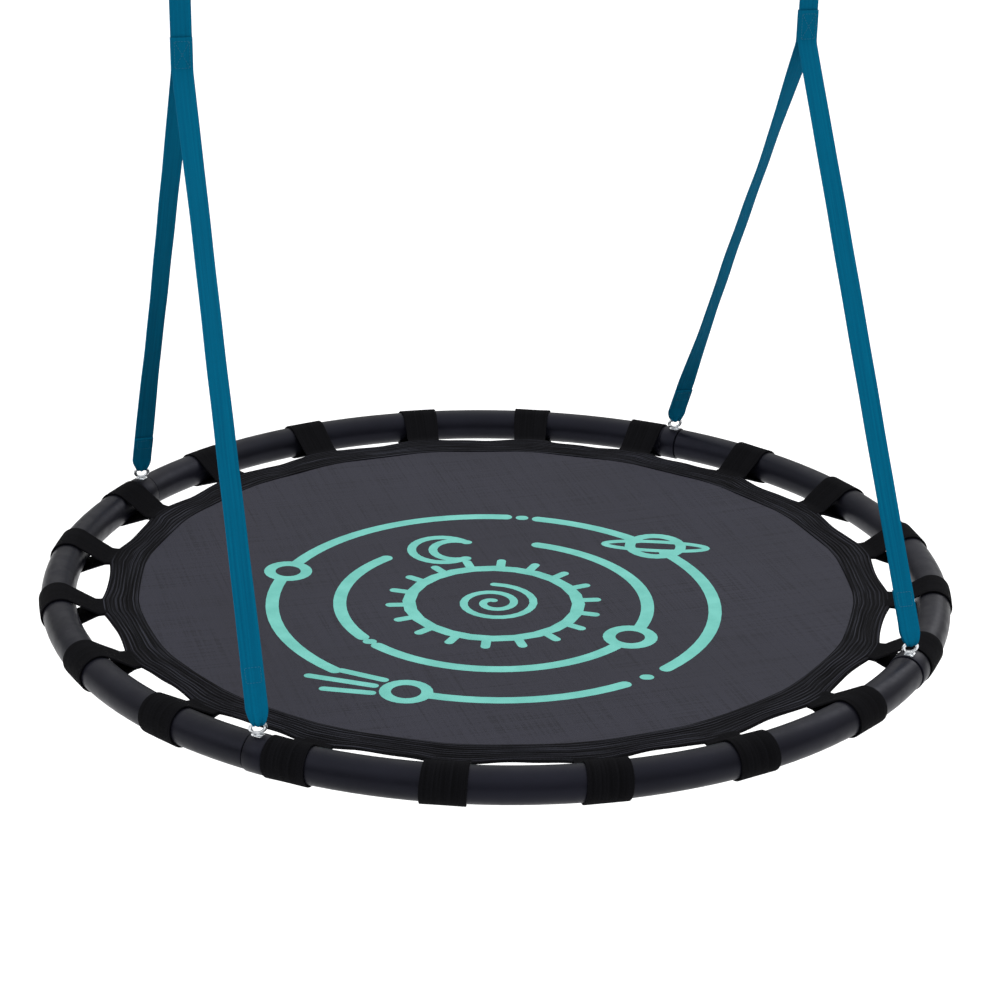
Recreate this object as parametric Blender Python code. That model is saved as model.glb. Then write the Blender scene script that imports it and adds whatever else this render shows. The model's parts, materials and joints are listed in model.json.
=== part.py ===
"""Saucer nest swing: a mesh mat laced by webbing loops into a four-piece tube ring, hung on webbing bridles.

Metres, +Z up, +X to the right along the line of the two hang points, +Y to the back. The origin lies
midway between the hang points, at the height where the two carabiners bear on whatever holds them.
"""
import bpy
import bmesh
from math import asin, atan2, cos, degrees, pi, radians, sin, sqrt
from mathutils import Matrix, Vector

GAP = 0.0003                     # between pieces that touch

# Ring: four quarter arcs of steel tube, each swaged end pushed into the next tube's open end
RING_RADIUS = 0.491              # to the centreline of the tube
TUBE_RADIUS = 0.019
TUBE_WALL = 0.0015
TUBE_SIDES = 10                  # with a flat side up and a flat side down
LIP_PROUD = 0.0012
SLIP_FIT = 0.0004                # between a pushed-in end and the bore that holds it
LIP_RADIUS = TUBE_RADIUS + LIP_PROUD
SWAGE_RADIUS = TUBE_RADIUS - TUBE_WALL - SLIP_FIT
LIP_ANGLE = 2.33                 # degrees of arc of the belled lip
SWAGE_ANGLE = 5.5                # degrees of arc of the pushed-in end
NECK_ANGLES = (0.9, 0.25)        # before the shoulder, where the bore starts and stops narrowing
SEAM_OPEN_ANGLE = 0.28           # degrees of arc left open at a seam
BOLT_ANGLE = 0.82                # from a seam on to the eye bolt
FIRST_EYE_ANGLE = -135.0         # front left, then every 90 degrees anticlockwise
QUARTERS = ("front", "right", "back", "left")
CORNERS = ("front_left", "front_right", "back_right", "back_left")

# Webbing loops that lace the mat to the ring
LOOPS_PER_TUBE = 5
LOOP_STEP = 18.0
LOOP_OFFSET = 5.2                # from a seam to the middle of its nearest loop
LOOP_HALF_ANGLE = 2.6            # webbing 45 mm wide
LOOP_THICKNESS = 0.002
LOOP_CLEARANCE = 0.0006
LOOP_CORNERS = 3                 # of the tube that the webbing turns round, above and below
TAILS_TOGETHER = 0.004           # length over which the two tails lie on each other

# Mat: a mesh disc in a scalloped hem
MAT_THICKNESS = 0.0015
HEM_THICKNESS = 0.004
HEM_INNER = 0.82 * RING_RADIUS
HEM_AT_LOOP = 0.905 * RING_RADIUS
HEM_BETWEEN = 0.890 * RING_RADIUS
MAT_LOW = 0.0035                 # the hem hangs this far below the ring's plane
HEM_EASE_ANGLE = 3.2             # beside a loop, where the hem has drawn in by the share below
HEM_EASE_SHARE = 0.75

# Eye bolts and what they go through
EYE_RADIUS = 0.0055              # of the eye's centreline, upwards
EYE_WIDER = 1.4                  # times as wide as it is high
EYE_WIRE = 0.0015
EYE_STEPS = 12
WIRE_SIDES = 6
SHANK_RADIUS = 0.0025
SHANK_PAST_NUT = 0.003
HOLE_RADIUS = 0.0028
BOLT_SIDES = 8
WASHER_SIZE = (0.010, 0.012, 0.001)
NUT_SIZE = (0.008, 0.008, 0.004)

# Bridle: four legs sewn in pairs to two risers
STRAP_WIDTH = 0.022
GATHERED_WIDTH = 0.0075          # where a leg is bunched in its eye
EYE_CLEARANCE = 0.0013           # the eye's wire falls away under the width of the leg
EYE_WRAP_STEPS = 6
STRAP_THICKNESS = 0.002
HANG_X = 0.341
JOIN_HEIGHT = 0.594              # above the ring's plane
JOIN_LENGTH = 0.035
LEG_TAIL = 0.057
RISER_TAIL = 0.062
TAPER = 0.030                    # length over which a leg is bunched
WIDEN_FROM = 0.0015              # above the wire of the eye
WIDEN_TO = 0.022

# D-ring and carabiner
DEE_ROD = 0.003
DEE_HALF_WIDTH = 0.016
DEE_SIDE = 0.009
DEE_CORNER = 0.004
DEE_CORNER_STEPS = 3
DEE_BOW_STEPS = 10
BAR_CLEARANCE = 0.00035          # between the D-ring's bar and the webbing round it
BAR_WRAP_STEPS = 7
BAR_EYE_LENGTH = 0.028           # below the bar, where the riser and its tail come together
CARABINER_ROD = 0.004
CARABINER_BEND = 0.016
CARABINER_STRAIGHT = 0.040
HOOK_STEPS = 8
HEEL_STEPS = 9
ROD_SIDES = 8
GATE_RADIUS = 0.0038
GATE_SIDES = 10
GATE_SHORT = 0.0004              # clear of the nose
GATE_ABOVE_PIN = 0.0032
SLOT_BELOW_PIN = 0.0048
PIN_RADIUS = 0.00125
PIN_SHORT = 0.0004               # sunk below the gate's side
PIN_SIDES = 8
PIN_BELOW_HANG = 0.0135
CUT_REACH = 0.006                # half length of what cuts right through the gate
TANG_SIZE = (0.003, 0.0056)
TANG_SUNK = 0.0026               # how far the tang runs up into the rod
HINGE_ABOVE_PIN = 0.0059         # where the rod ends and the bare tang begins
NOSE_BELOW_PIN = 0.0369
SPRING_RADIUS = 0.0016
SPRING_WIRE = 0.00035
SPRING_TURNS = 5
SPRING_PITCH = 0.0026
SPRING_SIDES = 4
COIL_STEPS = 7
BORE_PAST_SPRING = 0.002
BORE_INTO_SLOT = 0.001

# Heights worked out from the hang points down
DEE_HEIGHT = DEE_SIDE + DEE_HALF_WIDTH
CARABINER_LOW = CARABINER_ROD - 2 * CARABINER_BEND - CARABINER_STRAIGHT
SWING_AXIS_Z = CARABINER_LOW + CARABINER_ROD + DEE_ROD + GAP
DEE_BAR_Z = SWING_AXIS_Z - DEE_HEIGHT
BAR_ABOVE_RING = 0.752
RING_Z = DEE_BAR_Z - BAR_ABOVE_RING
JOIN_Z = RING_Z + JOIN_HEIGHT
FLAT = cos(pi / TUBE_SIDES)      # from a corner's radius to a flat's
WASHER_Z = RING_Z + LIP_RADIUS * FLAT + GAP
EYE_Z = WASHER_Z + WASHER_SIZE[2] + GAP + EYE_RADIUS + EYE_WIRE
EYE_X = RING_RADIUS * cos(radians(45))
WIRE_Z = EYE_Z + EYE_RADIUS      # of the top of the eye, where a leg wraps it
FIRST_SEAM = FIRST_EYE_ANGLE - BOLT_ANGLE


def clear_scene():
    for item in list(bpy.data.objects):
        bpy.data.objects.remove(item, do_unlink=True)


def material(name, colour, roughness, metallic):
    made = bpy.data.materials.new(name)
    made.use_nodes = True
    shader = made.node_tree.nodes["Principled BSDF"]
    shader.inputs["Base Color"].default_value = (*colour, 1.0)
    shader.inputs["Roughness"].default_value = roughness
    shader.inputs["Metallic"].default_value = metallic
    return made


def add_object(name, mesh, finish, smooth=None):
    mesh.materials.append(finish)
    if smooth:
        mesh.shade_smooth()
        mesh.set_sharp_from_angle(angle=radians(smooth))
    made = bpy.data.objects.new(name, mesh)
    bpy.context.collection.objects.link(made)
    return made


def rings_mesh(name, rings, closed):
    """A skin over equal rings of points. Closed, the last meets the first; open, both ends are capped."""
    shape = bmesh.new()
    rows = [[shape.verts.new(point) for point in ring] for ring in rings]
    count = len(rows[0])
    pairs = list(zip(rows, rows[1:]))
    if closed:
        pairs.append((rows[-1], rows[0]))
    else:
        shape.faces.new(rows[0])
        shape.faces.new(rows[-1])
    for low, high in pairs:
        for k in range(count):
            after = (k + 1) % count
            shape.faces.new((low[k], low[after], high[after], high[k]))
    bmesh.ops.recalc_face_normals(shape, faces=shape.faces)
    mesh = bpy.data.meshes.new(name)
    shape.to_mesh(mesh)
    shape.free()
    return mesh


def on_ring(angle, outward, height):
    """A point beside the ring's centreline, angle in degrees round the ring."""
    reach = RING_RADIUS + outward
    return Vector((reach * cos(radians(angle)), reach * sin(radians(angle)), RING_Z + height))


def tube_section(angle, radius):
    turns = [2 * pi * k / TUBE_SIDES for k in range(TUBE_SIDES)]
    return [on_ring(angle, radius * cos(turn), radius * sin(turn)) for turn in turns]


def rod_rings(points, radius, sides, closed, side_axis):
    """Round sections along a flat path, side_axis being square to the path's plane."""
    rings = []
    count = len(points)
    for k, point in enumerate(points):
        if closed:
            ahead = points[(k + 1) % count] - points[k - 1]
        else:
            ahead = points[min(k + 1, count - 1)] - points[max(k - 1, 0)]
        across = side_axis.cross(ahead.normalized())
        turns = [2 * pi * (j + 0.5) / sides for j in range(sides)]
        rings.append([point + radius * (across * cos(turn) + side_axis * sin(turn)) for turn in turns])
    return rings


def arc(centre, radius, start, stop, steps):
    """Points in a plane, angles in degrees."""
    turns = [radians(start + (stop - start) * k / steps) for k in range(steps + 1)]
    return [(centre[0] + radius * cos(turn), centre[1] + radius * sin(turn)) for turn in turns]


def mitred(path, half):
    """The two edges of a strip of even thickness along a path of (u, v) points."""
    edges = []
    for k, point in enumerate(path):
        here = Vector(point)
        before = (here - Vector(path[k - 1])).normalized() if k > 0 else None
        after = (Vector(path[k + 1]) - here).normalized() if k + 1 < len(path) else None
        ahead = ((before or after) + (after or before)).normalized()
        normal = Vector((-ahead.y, ahead.x))
        stretch = 1.0 / max(0.5, ahead.dot(before or after))
        edges.append((here + normal * half * stretch, here - normal * half * stretch))
    return edges


def box_mesh(name, low, high):
    shape = bmesh.new()
    middle = (Vector(low) + Vector(high)) / 2
    size = Vector(high) - Vector(low)
    place = Matrix.Translation(middle) @ Matrix.Diagonal((*size, 1.0))
    bmesh.ops.create_cube(shape, size=1.0, matrix=place)
    mesh = bpy.data.meshes.new(name)
    shape.to_mesh(mesh)
    shape.free()
    return mesh


def cylinder_mesh(name, radius, low, high, sides):
    """Sides start with a flat towards +X. low and high are the centres of the two ends."""
    low, high = Vector(low), Vector(high)
    along = high - low
    turn = Vector((0, 0, 1)).rotation_difference(along).to_matrix().to_4x4()
    place = Matrix.Translation((low + high) / 2) @ turn @ Matrix.Rotation(pi / sides, 4, "Z")
    size = {"radius1": radius, "radius2": radius, "depth": along.length}
    shape = bmesh.new()
    bmesh.ops.create_cone(shape, cap_ends=True, segments=sides, matrix=place, **size)
    mesh = bpy.data.meshes.new(name)
    shape.to_mesh(mesh)
    shape.free()
    return mesh


def cutter(name, mesh):
    made = bpy.data.objects.new(name, mesh)
    bpy.context.collection.objects.link(made)
    made.hide_render = True
    made.display_type = "WIRE"
    return made


def combine(target, tool, operation):
    change = target.modifiers.new(f"{operation.lower()}_{tool.name}", "BOOLEAN")
    change.operation = operation
    change.object = tool
    change.solver = "EXACT"


def tube_stations():
    """Angles from a seam where straight pieces of tube meet: at each loop's edges and midway between."""
    between = LOOP_STEP / 2
    stations = []
    for k in range(LOOPS_PER_TUBE):
        middle = LOOP_OFFSET + k * LOOP_STEP
        stations += [middle - LOOP_HALF_ANGLE, middle + LOOP_HALF_ANGLE]
        if k + 1 < LOOPS_PER_TUBE:
            stations.append(middle + between)
    return stations


def ring_tube(name, seam, finish):
    """A quarter of the ring from the belled lip at its seam to the swaged end beyond the next one."""
    stations = tube_stations()
    shoulder = 90.0 - SEAM_OPEN_ANGLE
    swage = [90.0, 90.0 + LIP_ANGLE, 90.0 + LOOP_OFFSET - LOOP_HALF_ANGLE, 90.0 + SWAGE_ANGLE]
    middle = [(angle, TUBE_RADIUS) for angle in stations]
    outer = [(0.0, LIP_RADIUS), (LIP_ANGLE, LIP_RADIUS), *middle, (shoulder, TUBE_RADIUS)]
    outer += [(shoulder, SWAGE_RADIUS)] + [(angle, SWAGE_RADIUS) for angle in swage]
    bore = TUBE_RADIUS - TUBE_WALL
    swage_bore = SWAGE_RADIUS - TUBE_WALL
    bore_stations = sorted([0.0, LIP_ANGLE, SWAGE_ANGLE, *stations])
    inner = [(angle, bore) for angle in bore_stations]
    inner += [(shoulder - NECK_ANGLES[0], bore), (shoulder - NECK_ANGLES[1], swage_bore)]
    inner += [(angle, swage_bore) for angle in swage]
    rings = [tube_section(seam + angle, radius) for angle, radius in outer + inner[::-1]]
    return add_object(name, rings_mesh(name, rings, closed=True), finish, smooth=40)


def web_loop(name, angle, finish):
    """Webbing once round the tube, its two tails meeting in a V at the hem."""
    wrap = TUBE_RADIUS + LOOP_CLEARANCE + LOOP_THICKNESS / 2
    turns = [2 * pi * k / TUBE_SIDES for k in range(-LOOP_CORNERS, LOOP_CORNERS + 1)]
    around = [(wrap * cos(turn), wrap * sin(turn)) for turn in turns]
    tip = HEM_AT_LOOP + 3 * GAP - RING_RADIUS
    fork = tip + TAILS_TOGETHER
    meet = LOOP_THICKNESS / 2 + GAP
    low, high = -MAT_LOW - meet, -MAT_LOW + meet
    path = [(tip, low), (fork, low), *around, (fork, high), (tip, high)]
    rings = []
    for outside, inside in mitred(path, LOOP_THICKNESS / 2):
        near, far = angle - LOOP_HALF_ANGLE, angle + LOOP_HALF_ANGLE
        corners_at = ((near, outside), (far, outside), (far, inside), (near, inside))
        rings.append([on_ring(turn, point.x, point.y) for turn, point in corners_at])
    return add_object(name, rings_mesh(name, rings, closed=False), finish)


def hem_outline():
    """(angle, outer radius) round the hem: straight at each loop and drawn in between loops."""
    dip = (HEM_AT_LOOP - HEM_BETWEEN) * HEM_EASE_SHARE
    ease = LOOP_HALF_ANGLE + HEM_EASE_ANGLE
    shape = (
        (-LOOP_HALF_ANGLE, HEM_AT_LOOP),
        (LOOP_HALF_ANGLE, HEM_AT_LOOP),
        (ease, HEM_AT_LOOP - dip),
        (LOOP_STEP / 2, HEM_BETWEEN),
        (LOOP_STEP - ease, HEM_AT_LOOP - dip),
    )
    start = FIRST_SEAM + LOOP_OFFSET
    count = 4 * LOOPS_PER_TUBE
    return [(start + k * LOOP_STEP + turn, radius) for k in range(count) for turn, radius in shape]


def mat_hem(finish):
    rings = []
    half = HEM_THICKNESS / 2
    for angle, radius in hem_outline():
        outer, inner = radius - RING_RADIUS, HEM_INNER - RING_RADIUS
        corners = ((inner, -half), (outer, -half), (outer, half), (inner, half))
        rings.append([on_ring(angle, outward, height - MAT_LOW) for outward, height in corners])
    return add_object("mat_hem", rings_mesh("mat_hem", rings, closed=True), finish)


def mat_mesh(finish):
    half = MAT_THICKNESS / 2
    outward = HEM_INNER - 2 * GAP - RING_RADIUS
    turns = [angle for angle, _ in hem_outline()]
    heights = (-MAT_LOW - half, -MAT_LOW + half)
    rings = [[on_ring(turn, outward, height) for turn in turns] for height in heights]
    return add_object("mat_mesh", rings_mesh("mat_mesh", rings, closed=False), finish)


def eye_bolt(name, place, finish):
    """A closed oval eye on a short threaded shank that ends in the nut inside the tube."""
    last = 360.0 - 360.0 / EYE_STEPS
    eye = arc((0.0, 0.0), EYE_RADIUS, 0.0, last, EYE_STEPS - 1)
    points = [Vector((place.x + u * EYE_WIDER, place.y, EYE_Z + v)) for u, v in eye]
    rings = rod_rings(points, EYE_WIRE, WIRE_SIDES, True, Vector((0, 1, 0)))
    made = add_object(name, rings_mesh(name, rings, closed=True), finish, smooth=50)
    foot = (place.x, place.y, RING_Z + (SWAGE_RADIUS - TUBE_WALL) * FLAT - NUT_SIZE[2] - SHANK_PAST_NUT)
    top = (place.x, place.y, EYE_Z - EYE_RADIUS)
    shank = cylinder_mesh(f"{name}_shank", SHANK_RADIUS, foot, top, BOLT_SIDES)
    combine(made, cutter(f"{name}_shank", shank), "UNION")
    return made


def turned_box(name, place, angle, size, low, finish):
    """A block square to the ring at a bolt."""
    mesh = box_mesh(name, (-size[1] / 2, -size[0] / 2, low), (size[1] / 2, size[0] / 2, low + size[2]))
    turn = Matrix.Rotation(radians(angle), 4, "Z")
    mesh.transform(Matrix.Translation((place.x, place.y, 0)) @ turn)
    return add_object(name, mesh, finish)


def corner_fixing(corner, angle, tubes, zinc):
    """The eye bolt at one seam, its washer and its nut, and the hole through both tubes."""
    place = on_ring(angle, 0.0, 0.0)
    eye_bolt(f"eye_bolt_{corner}", place, zinc)
    washer = turned_box(f"saddle_washer_{corner}", place, angle + 90, WASHER_SIZE, WASHER_Z, zinc)
    nut_low = RING_Z + (SWAGE_RADIUS - TUBE_WALL) * FLAT - 2 * GAP - NUT_SIZE[2]
    nut = turned_box(f"captive_nut_{corner}", place, angle + 90, NUT_SIZE, nut_low, zinc)
    foot, top = (place.x, place.y, RING_Z), (place.x, place.y, EYE_Z)
    tool = cutter(f"drill_{corner}", cylinder_mesh(f"drill_{corner}", HOLE_RADIUS, foot, top, BOLT_SIDES))
    for piece in (washer, nut, *tubes):
        combine(piece, tool, "DIFFERENCE")


def strap(name, path, centre_x, width_at, finish):
    """A flat strap along a path of (y, z) points, its width along X."""
    rings = []
    for point, (one, other) in zip(path, mitred(path, STRAP_THICKNESS / 2)):
        middle, half = centre_x(point[1]), width_at(point[1]) / 2
        corners = ((-half, one), (half, one), (half, other), (-half, other))
        rings.append([Vector((middle + across, edge.x, edge.y)) for across, edge in corners])
    return add_object(name, rings_mesh(name, rings, closed=False), finish)


def leg_path():
    """A front leg: down the riser's front, down to the eye, through it and back up on its inner side."""
    wrap = EYE_WIRE + EYE_CLEARANCE + STRAP_THICKNESS / 2
    wire = Vector((-EYE_X, WIRE_Z))
    join = Vector((-(STRAP_THICKNESS + GAP), JOIN_Z))
    reach = join - wire
    lean = atan2(reach.x, reach.y) + asin(wrap / reach.length)
    up = Vector((sin(lean), cos(lean)))
    inward = Vector((cos(lean), -sin(lean)))
    path = [(join.x, JOIN_Z + JOIN_LENGTH), (join.x, JOIN_Z)]
    run = sqrt(reach.length**2 - wrap**2)
    for share in (0.75, 0.5, 0.25):
        path.append(tuple(wire - inward * wrap + up * run * share))
    path += [tuple(wire - inward * wrap + up * along) for along in (TAPER, TAPER / 2)]
    for k in range(EYE_WRAP_STEPS + 1):
        turn = pi * k / EYE_WRAP_STEPS
        path.append(tuple(wire - inward * wrap * cos(turn) - up * wrap * sin(turn)))
    beside = STRAP_THICKNESS + GAP - wrap
    tail = (TAPER / 2, TAPER, LEG_TAIL)
    path += [tuple(wire + inward * beside + up * along) for along in tail]
    return path


def bridle_leg(name, side, front, finish):
    """side is -1 on the left, front is 1 at the front and -1 at the back."""
    path = [(y * front, z) for y, z in leg_path()]
    if front < 0:
        path.reverse()

    def centre_x(z):
        share = min(1.0, max(0.0, (z - WIRE_Z) / (JOIN_Z - WIRE_Z)))
        return side * (EYE_X + (HANG_X - EYE_X) * share)

    def width_at(z):
        share = min(1.0, max(0.0, (z - WIRE_Z - WIDEN_FROM) / (WIDEN_TO - WIDEN_FROM)))
        return GATHERED_WIDTH + (STRAP_WIDTH - GATHERED_WIDTH) * share

    return strap(name, path, centre_x, width_at, finish)


def riser(name, side, finish):
    """Up from the join, over the D-ring's bar and back down behind itself."""
    wrap = DEE_ROD + BAR_CLEARANCE + STRAP_THICKNESS / 2
    beside = STRAP_THICKNESS + GAP
    eye_foot = DEE_BAR_Z - BAR_EYE_LENGTH
    path = [(0.0, JOIN_Z), (0.0, (JOIN_Z + DEE_BAR_Z) / 2), (0.0, eye_foot)]
    path += arc((0.0, DEE_BAR_Z), wrap, 180, 0, BAR_WRAP_STEPS)
    path += [(beside, eye_foot), (beside, DEE_BAR_Z - RISER_TAIL)]
    return strap(name, path, lambda z: side * HANG_X, lambda z: STRAP_WIDTH, finish)


def d_ring(name, side, finish):
    """A straight bar for the webbing at the bottom and a bow for the carabiner at the top."""
    edge = DEE_HALF_WIDTH
    round_at = edge - DEE_CORNER
    path = [(0.0, 0.0)] + arc((round_at, DEE_CORNER), DEE_CORNER, -90, 0, DEE_CORNER_STEPS)
    path += arc((0.0, DEE_SIDE), edge, 0, 180, DEE_BOW_STEPS)
    path += arc((-round_at, DEE_CORNER), DEE_CORNER, 180, 270, DEE_CORNER_STEPS)
    points = [Vector((side * HANG_X + u, 0.0, DEE_BAR_Z + v)) for u, v in path]
    rings = rod_rings(points, DEE_ROD, ROD_SIDES, True, Vector((0, 1, 0)))
    return add_object(name, rings_mesh(name, rings, closed=True), finish, smooth=50)


def carabiner_body(name, side, finish):
    """An open loop of rod: from the gate's hinge over the top, down the spine and round to the nose."""
    x = side * HANG_X
    top = CARABINER_ROD - CARABINER_BEND
    low = top - CARABINER_STRAIGHT
    start = degrees(asin((HINGE_ABOVE_PIN - PIN_BELOW_HANG - top) / CARABINER_BEND))
    path = arc((0.0, top), CARABINER_BEND, start, 180, HOOK_STEPS)
    path += arc((0.0, low), CARABINER_BEND, 180, 360, HEEL_STEPS)
    path.append((CARABINER_BEND, -PIN_BELOW_HANG - NOSE_BELOW_PIN))
    rod = [Vector((x, y, z)) for y, z in path]
    rings = rod_rings(rod, CARABINER_ROD, ROD_SIDES, False, Vector((1, 0, 0)))
    made = add_object(name, rings_mesh(name, rings, closed=False), finish, smooth=50)
    half_x, half_y = TANG_SIZE[0] / 2, TANG_SIZE[1] / 2
    low_corner = (x - half_x, CARABINER_BEND - half_y, -PIN_BELOW_HANG - half_y)
    high_corner = (x + half_x, CARABINER_BEND + half_y, -PIN_BELOW_HANG + HINGE_ABOVE_PIN + TANG_SUNK)
    combine(made, cutter(f"{name}_tang", box_mesh(f"{name}_tang", low_corner, high_corner)), "UNION")
    return made


def gate_pin(name, side, finish):
    x = side * HANG_X
    half = GATE_RADIUS - PIN_SHORT
    ends = [(x + way * half, CARABINER_BEND, -PIN_BELOW_HANG) for way in (-1, 1)]
    return add_object(name, cylinder_mesh(name, PIN_RADIUS, *ends, PIN_SIDES), finish, smooth=50)


def pin_hole(name, side):
    x = side * HANG_X
    ends = [(x + way * CUT_REACH, CARABINER_BEND, -PIN_BELOW_HANG) for way in (-1, 1)]
    return cutter(name, cylinder_mesh(name, PIN_RADIUS + GAP, *ends, PIN_SIDES))


def carabiner_gate(name, side, finish):
    """A rod hinged on the pin at its top, slotted for the tang and bored for the spring."""
    pivot = bpy.data.objects.new(f"{name}_pivot", None)
    bpy.context.collection.objects.link(pivot)
    x = side * HANG_X
    pivot.location = (x, CARABINER_BEND, -PIN_BELOW_HANG)
    foot = GATE_SHORT - NOSE_BELOW_PIN
    mesh = cylinder_mesh(name, GATE_RADIUS, (0, 0, foot), (0, 0, GATE_ABOVE_PIN), GATE_SIDES)
    made = add_object(name, mesh, finish, smooth=40)
    made.parent = pivot
    slot_foot = -PIN_BELOW_HANG - SLOT_BELOW_PIN
    half = TANG_SIZE[0] / 2 + GAP
    low_corner = (x - half, CARABINER_BEND - CUT_REACH, slot_foot)
    high_corner = (x + half, CARABINER_BEND + CUT_REACH, 0.0)
    combine(made, cutter(f"{name}_slot", box_mesh(f"{name}_slot", low_corner, high_corner)), "DIFFERENCE")
    bore_radius = SPRING_RADIUS + SPRING_WIRE + GAP
    bore_low = (x, CARABINER_BEND, slot_foot - SPRING_TURNS * SPRING_PITCH - BORE_PAST_SPRING)
    bore_high = (x, CARABINER_BEND, slot_foot + BORE_INTO_SLOT)
    bore = cylinder_mesh(f"{name}_bore", bore_radius, bore_low, bore_high, GATE_SIDES)
    combine(made, cutter(f"{name}_bore", bore), "DIFFERENCE")
    return made


def gate_spring(name, side, finish):
    """The coil that closes the gate, in the gate's bore under the tang."""
    x = side * HANG_X
    start = -PIN_BELOW_HANG - SLOT_BELOW_PIN - SPRING_WIRE - GAP
    points = []
    for k in range(SPRING_TURNS * COIL_STEPS + 1):
        turn = 2 * pi * k / COIL_STEPS
        fall = SPRING_PITCH * k / COIL_STEPS
        around = Vector((SPRING_RADIUS * cos(turn), SPRING_RADIUS * sin(turn), -fall))
        points.append(Vector((x, CARABINER_BEND, start)) + around)
    rings = []
    for k, point in enumerate(points):
        ahead = (points[min(k + 1, len(points) - 1)] - points[max(k - 1, 0)]).normalized()
        outward = Vector((point.x - x, point.y - CARABINER_BEND, 0)).normalized()
        upward = ahead.cross(outward)
        turns = [2 * pi * j / SPRING_SIDES for j in range(SPRING_SIDES)]
        rings.append([point + SPRING_WIRE * (outward * cos(turn) + upward * sin(turn)) for turn in turns])
    return add_object(name, rings_mesh(name, rings, closed=False), finish)


def hanger(side_name, side, zinc, spring_steel, teal):
    """One riser with its D-ring and its carabiner."""
    riser(f"riser_{side_name}", side, teal)
    d_ring(f"d_ring_{side_name}", side, zinc)
    body = carabiner_body(f"carabiner_{side_name}", side, zinc)
    gate = carabiner_gate(f"gate_{side_name}", side, zinc)
    hole = pin_hole(f"pin_hole_{side_name}", side)
    combine(body, hole, "DIFFERENCE")
    combine(gate, hole, "DIFFERENCE")
    gate_pin(f"gate_pin_{side_name}", side, zinc)
    gate_spring(f"gate_spring_{side_name}", side, spring_steel)


def build():
    clear_scene()
    coated_steel = material("powder coated steel", (0.030, 0.030, 0.035), 0.42, 0.0)
    black_web = material("black webbing", (0.008, 0.008, 0.009), 0.9, 0.0)
    teal_web = material("teal webbing", (0.0, 0.115, 0.22), 0.8, 0.0)
    mesh_cloth = material("mesh cloth", (0.050, 0.048, 0.062), 0.8, 0.0)
    hem_cloth = material("hem tape", (0.012, 0.012, 0.014), 0.9, 0.0)
    zinc = material("zinc plated steel", (0.62, 0.63, 0.65), 0.3, 1.0)
    spring_steel = material("spring steel", (0.45, 0.45, 0.46), 0.35, 1.0)

    seams = [FIRST_SEAM + 90 * k for k in range(4)]
    tubes = [ring_tube(f"ring_tube_{name}", seam, coated_steel) for name, seam in zip(QUARTERS, seams)]
    for k, corner in enumerate(CORNERS):
        corner_fixing(corner, seams[k] + BOLT_ANGLE, (tubes[k - 1], tubes[k]), zinc)
    for k in range(4 * LOOPS_PER_TUBE):
        web_loop(f"web_loop_{k + 1:02d}", FIRST_SEAM + LOOP_OFFSET + k * LOOP_STEP, black_web)
    mat_hem(hem_cloth)
    mat_mesh(mesh_cloth)
    for name, side in (("left", -1), ("right", 1)):
        bridle_leg(f"leg_front_{name}", side, 1, teal_web)
        bridle_leg(f"leg_back_{name}", side, -1, teal_web)
        hanger(name, side, zinc, spring_steel, teal_web)


build()
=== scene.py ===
"""Looks of a saucer nest swing: tube ring, lacing loops, hem, mesh mat, print, straps and hardware.

Metres, +Z up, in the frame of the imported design. Every piece stands where its design node stands.
"""

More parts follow.
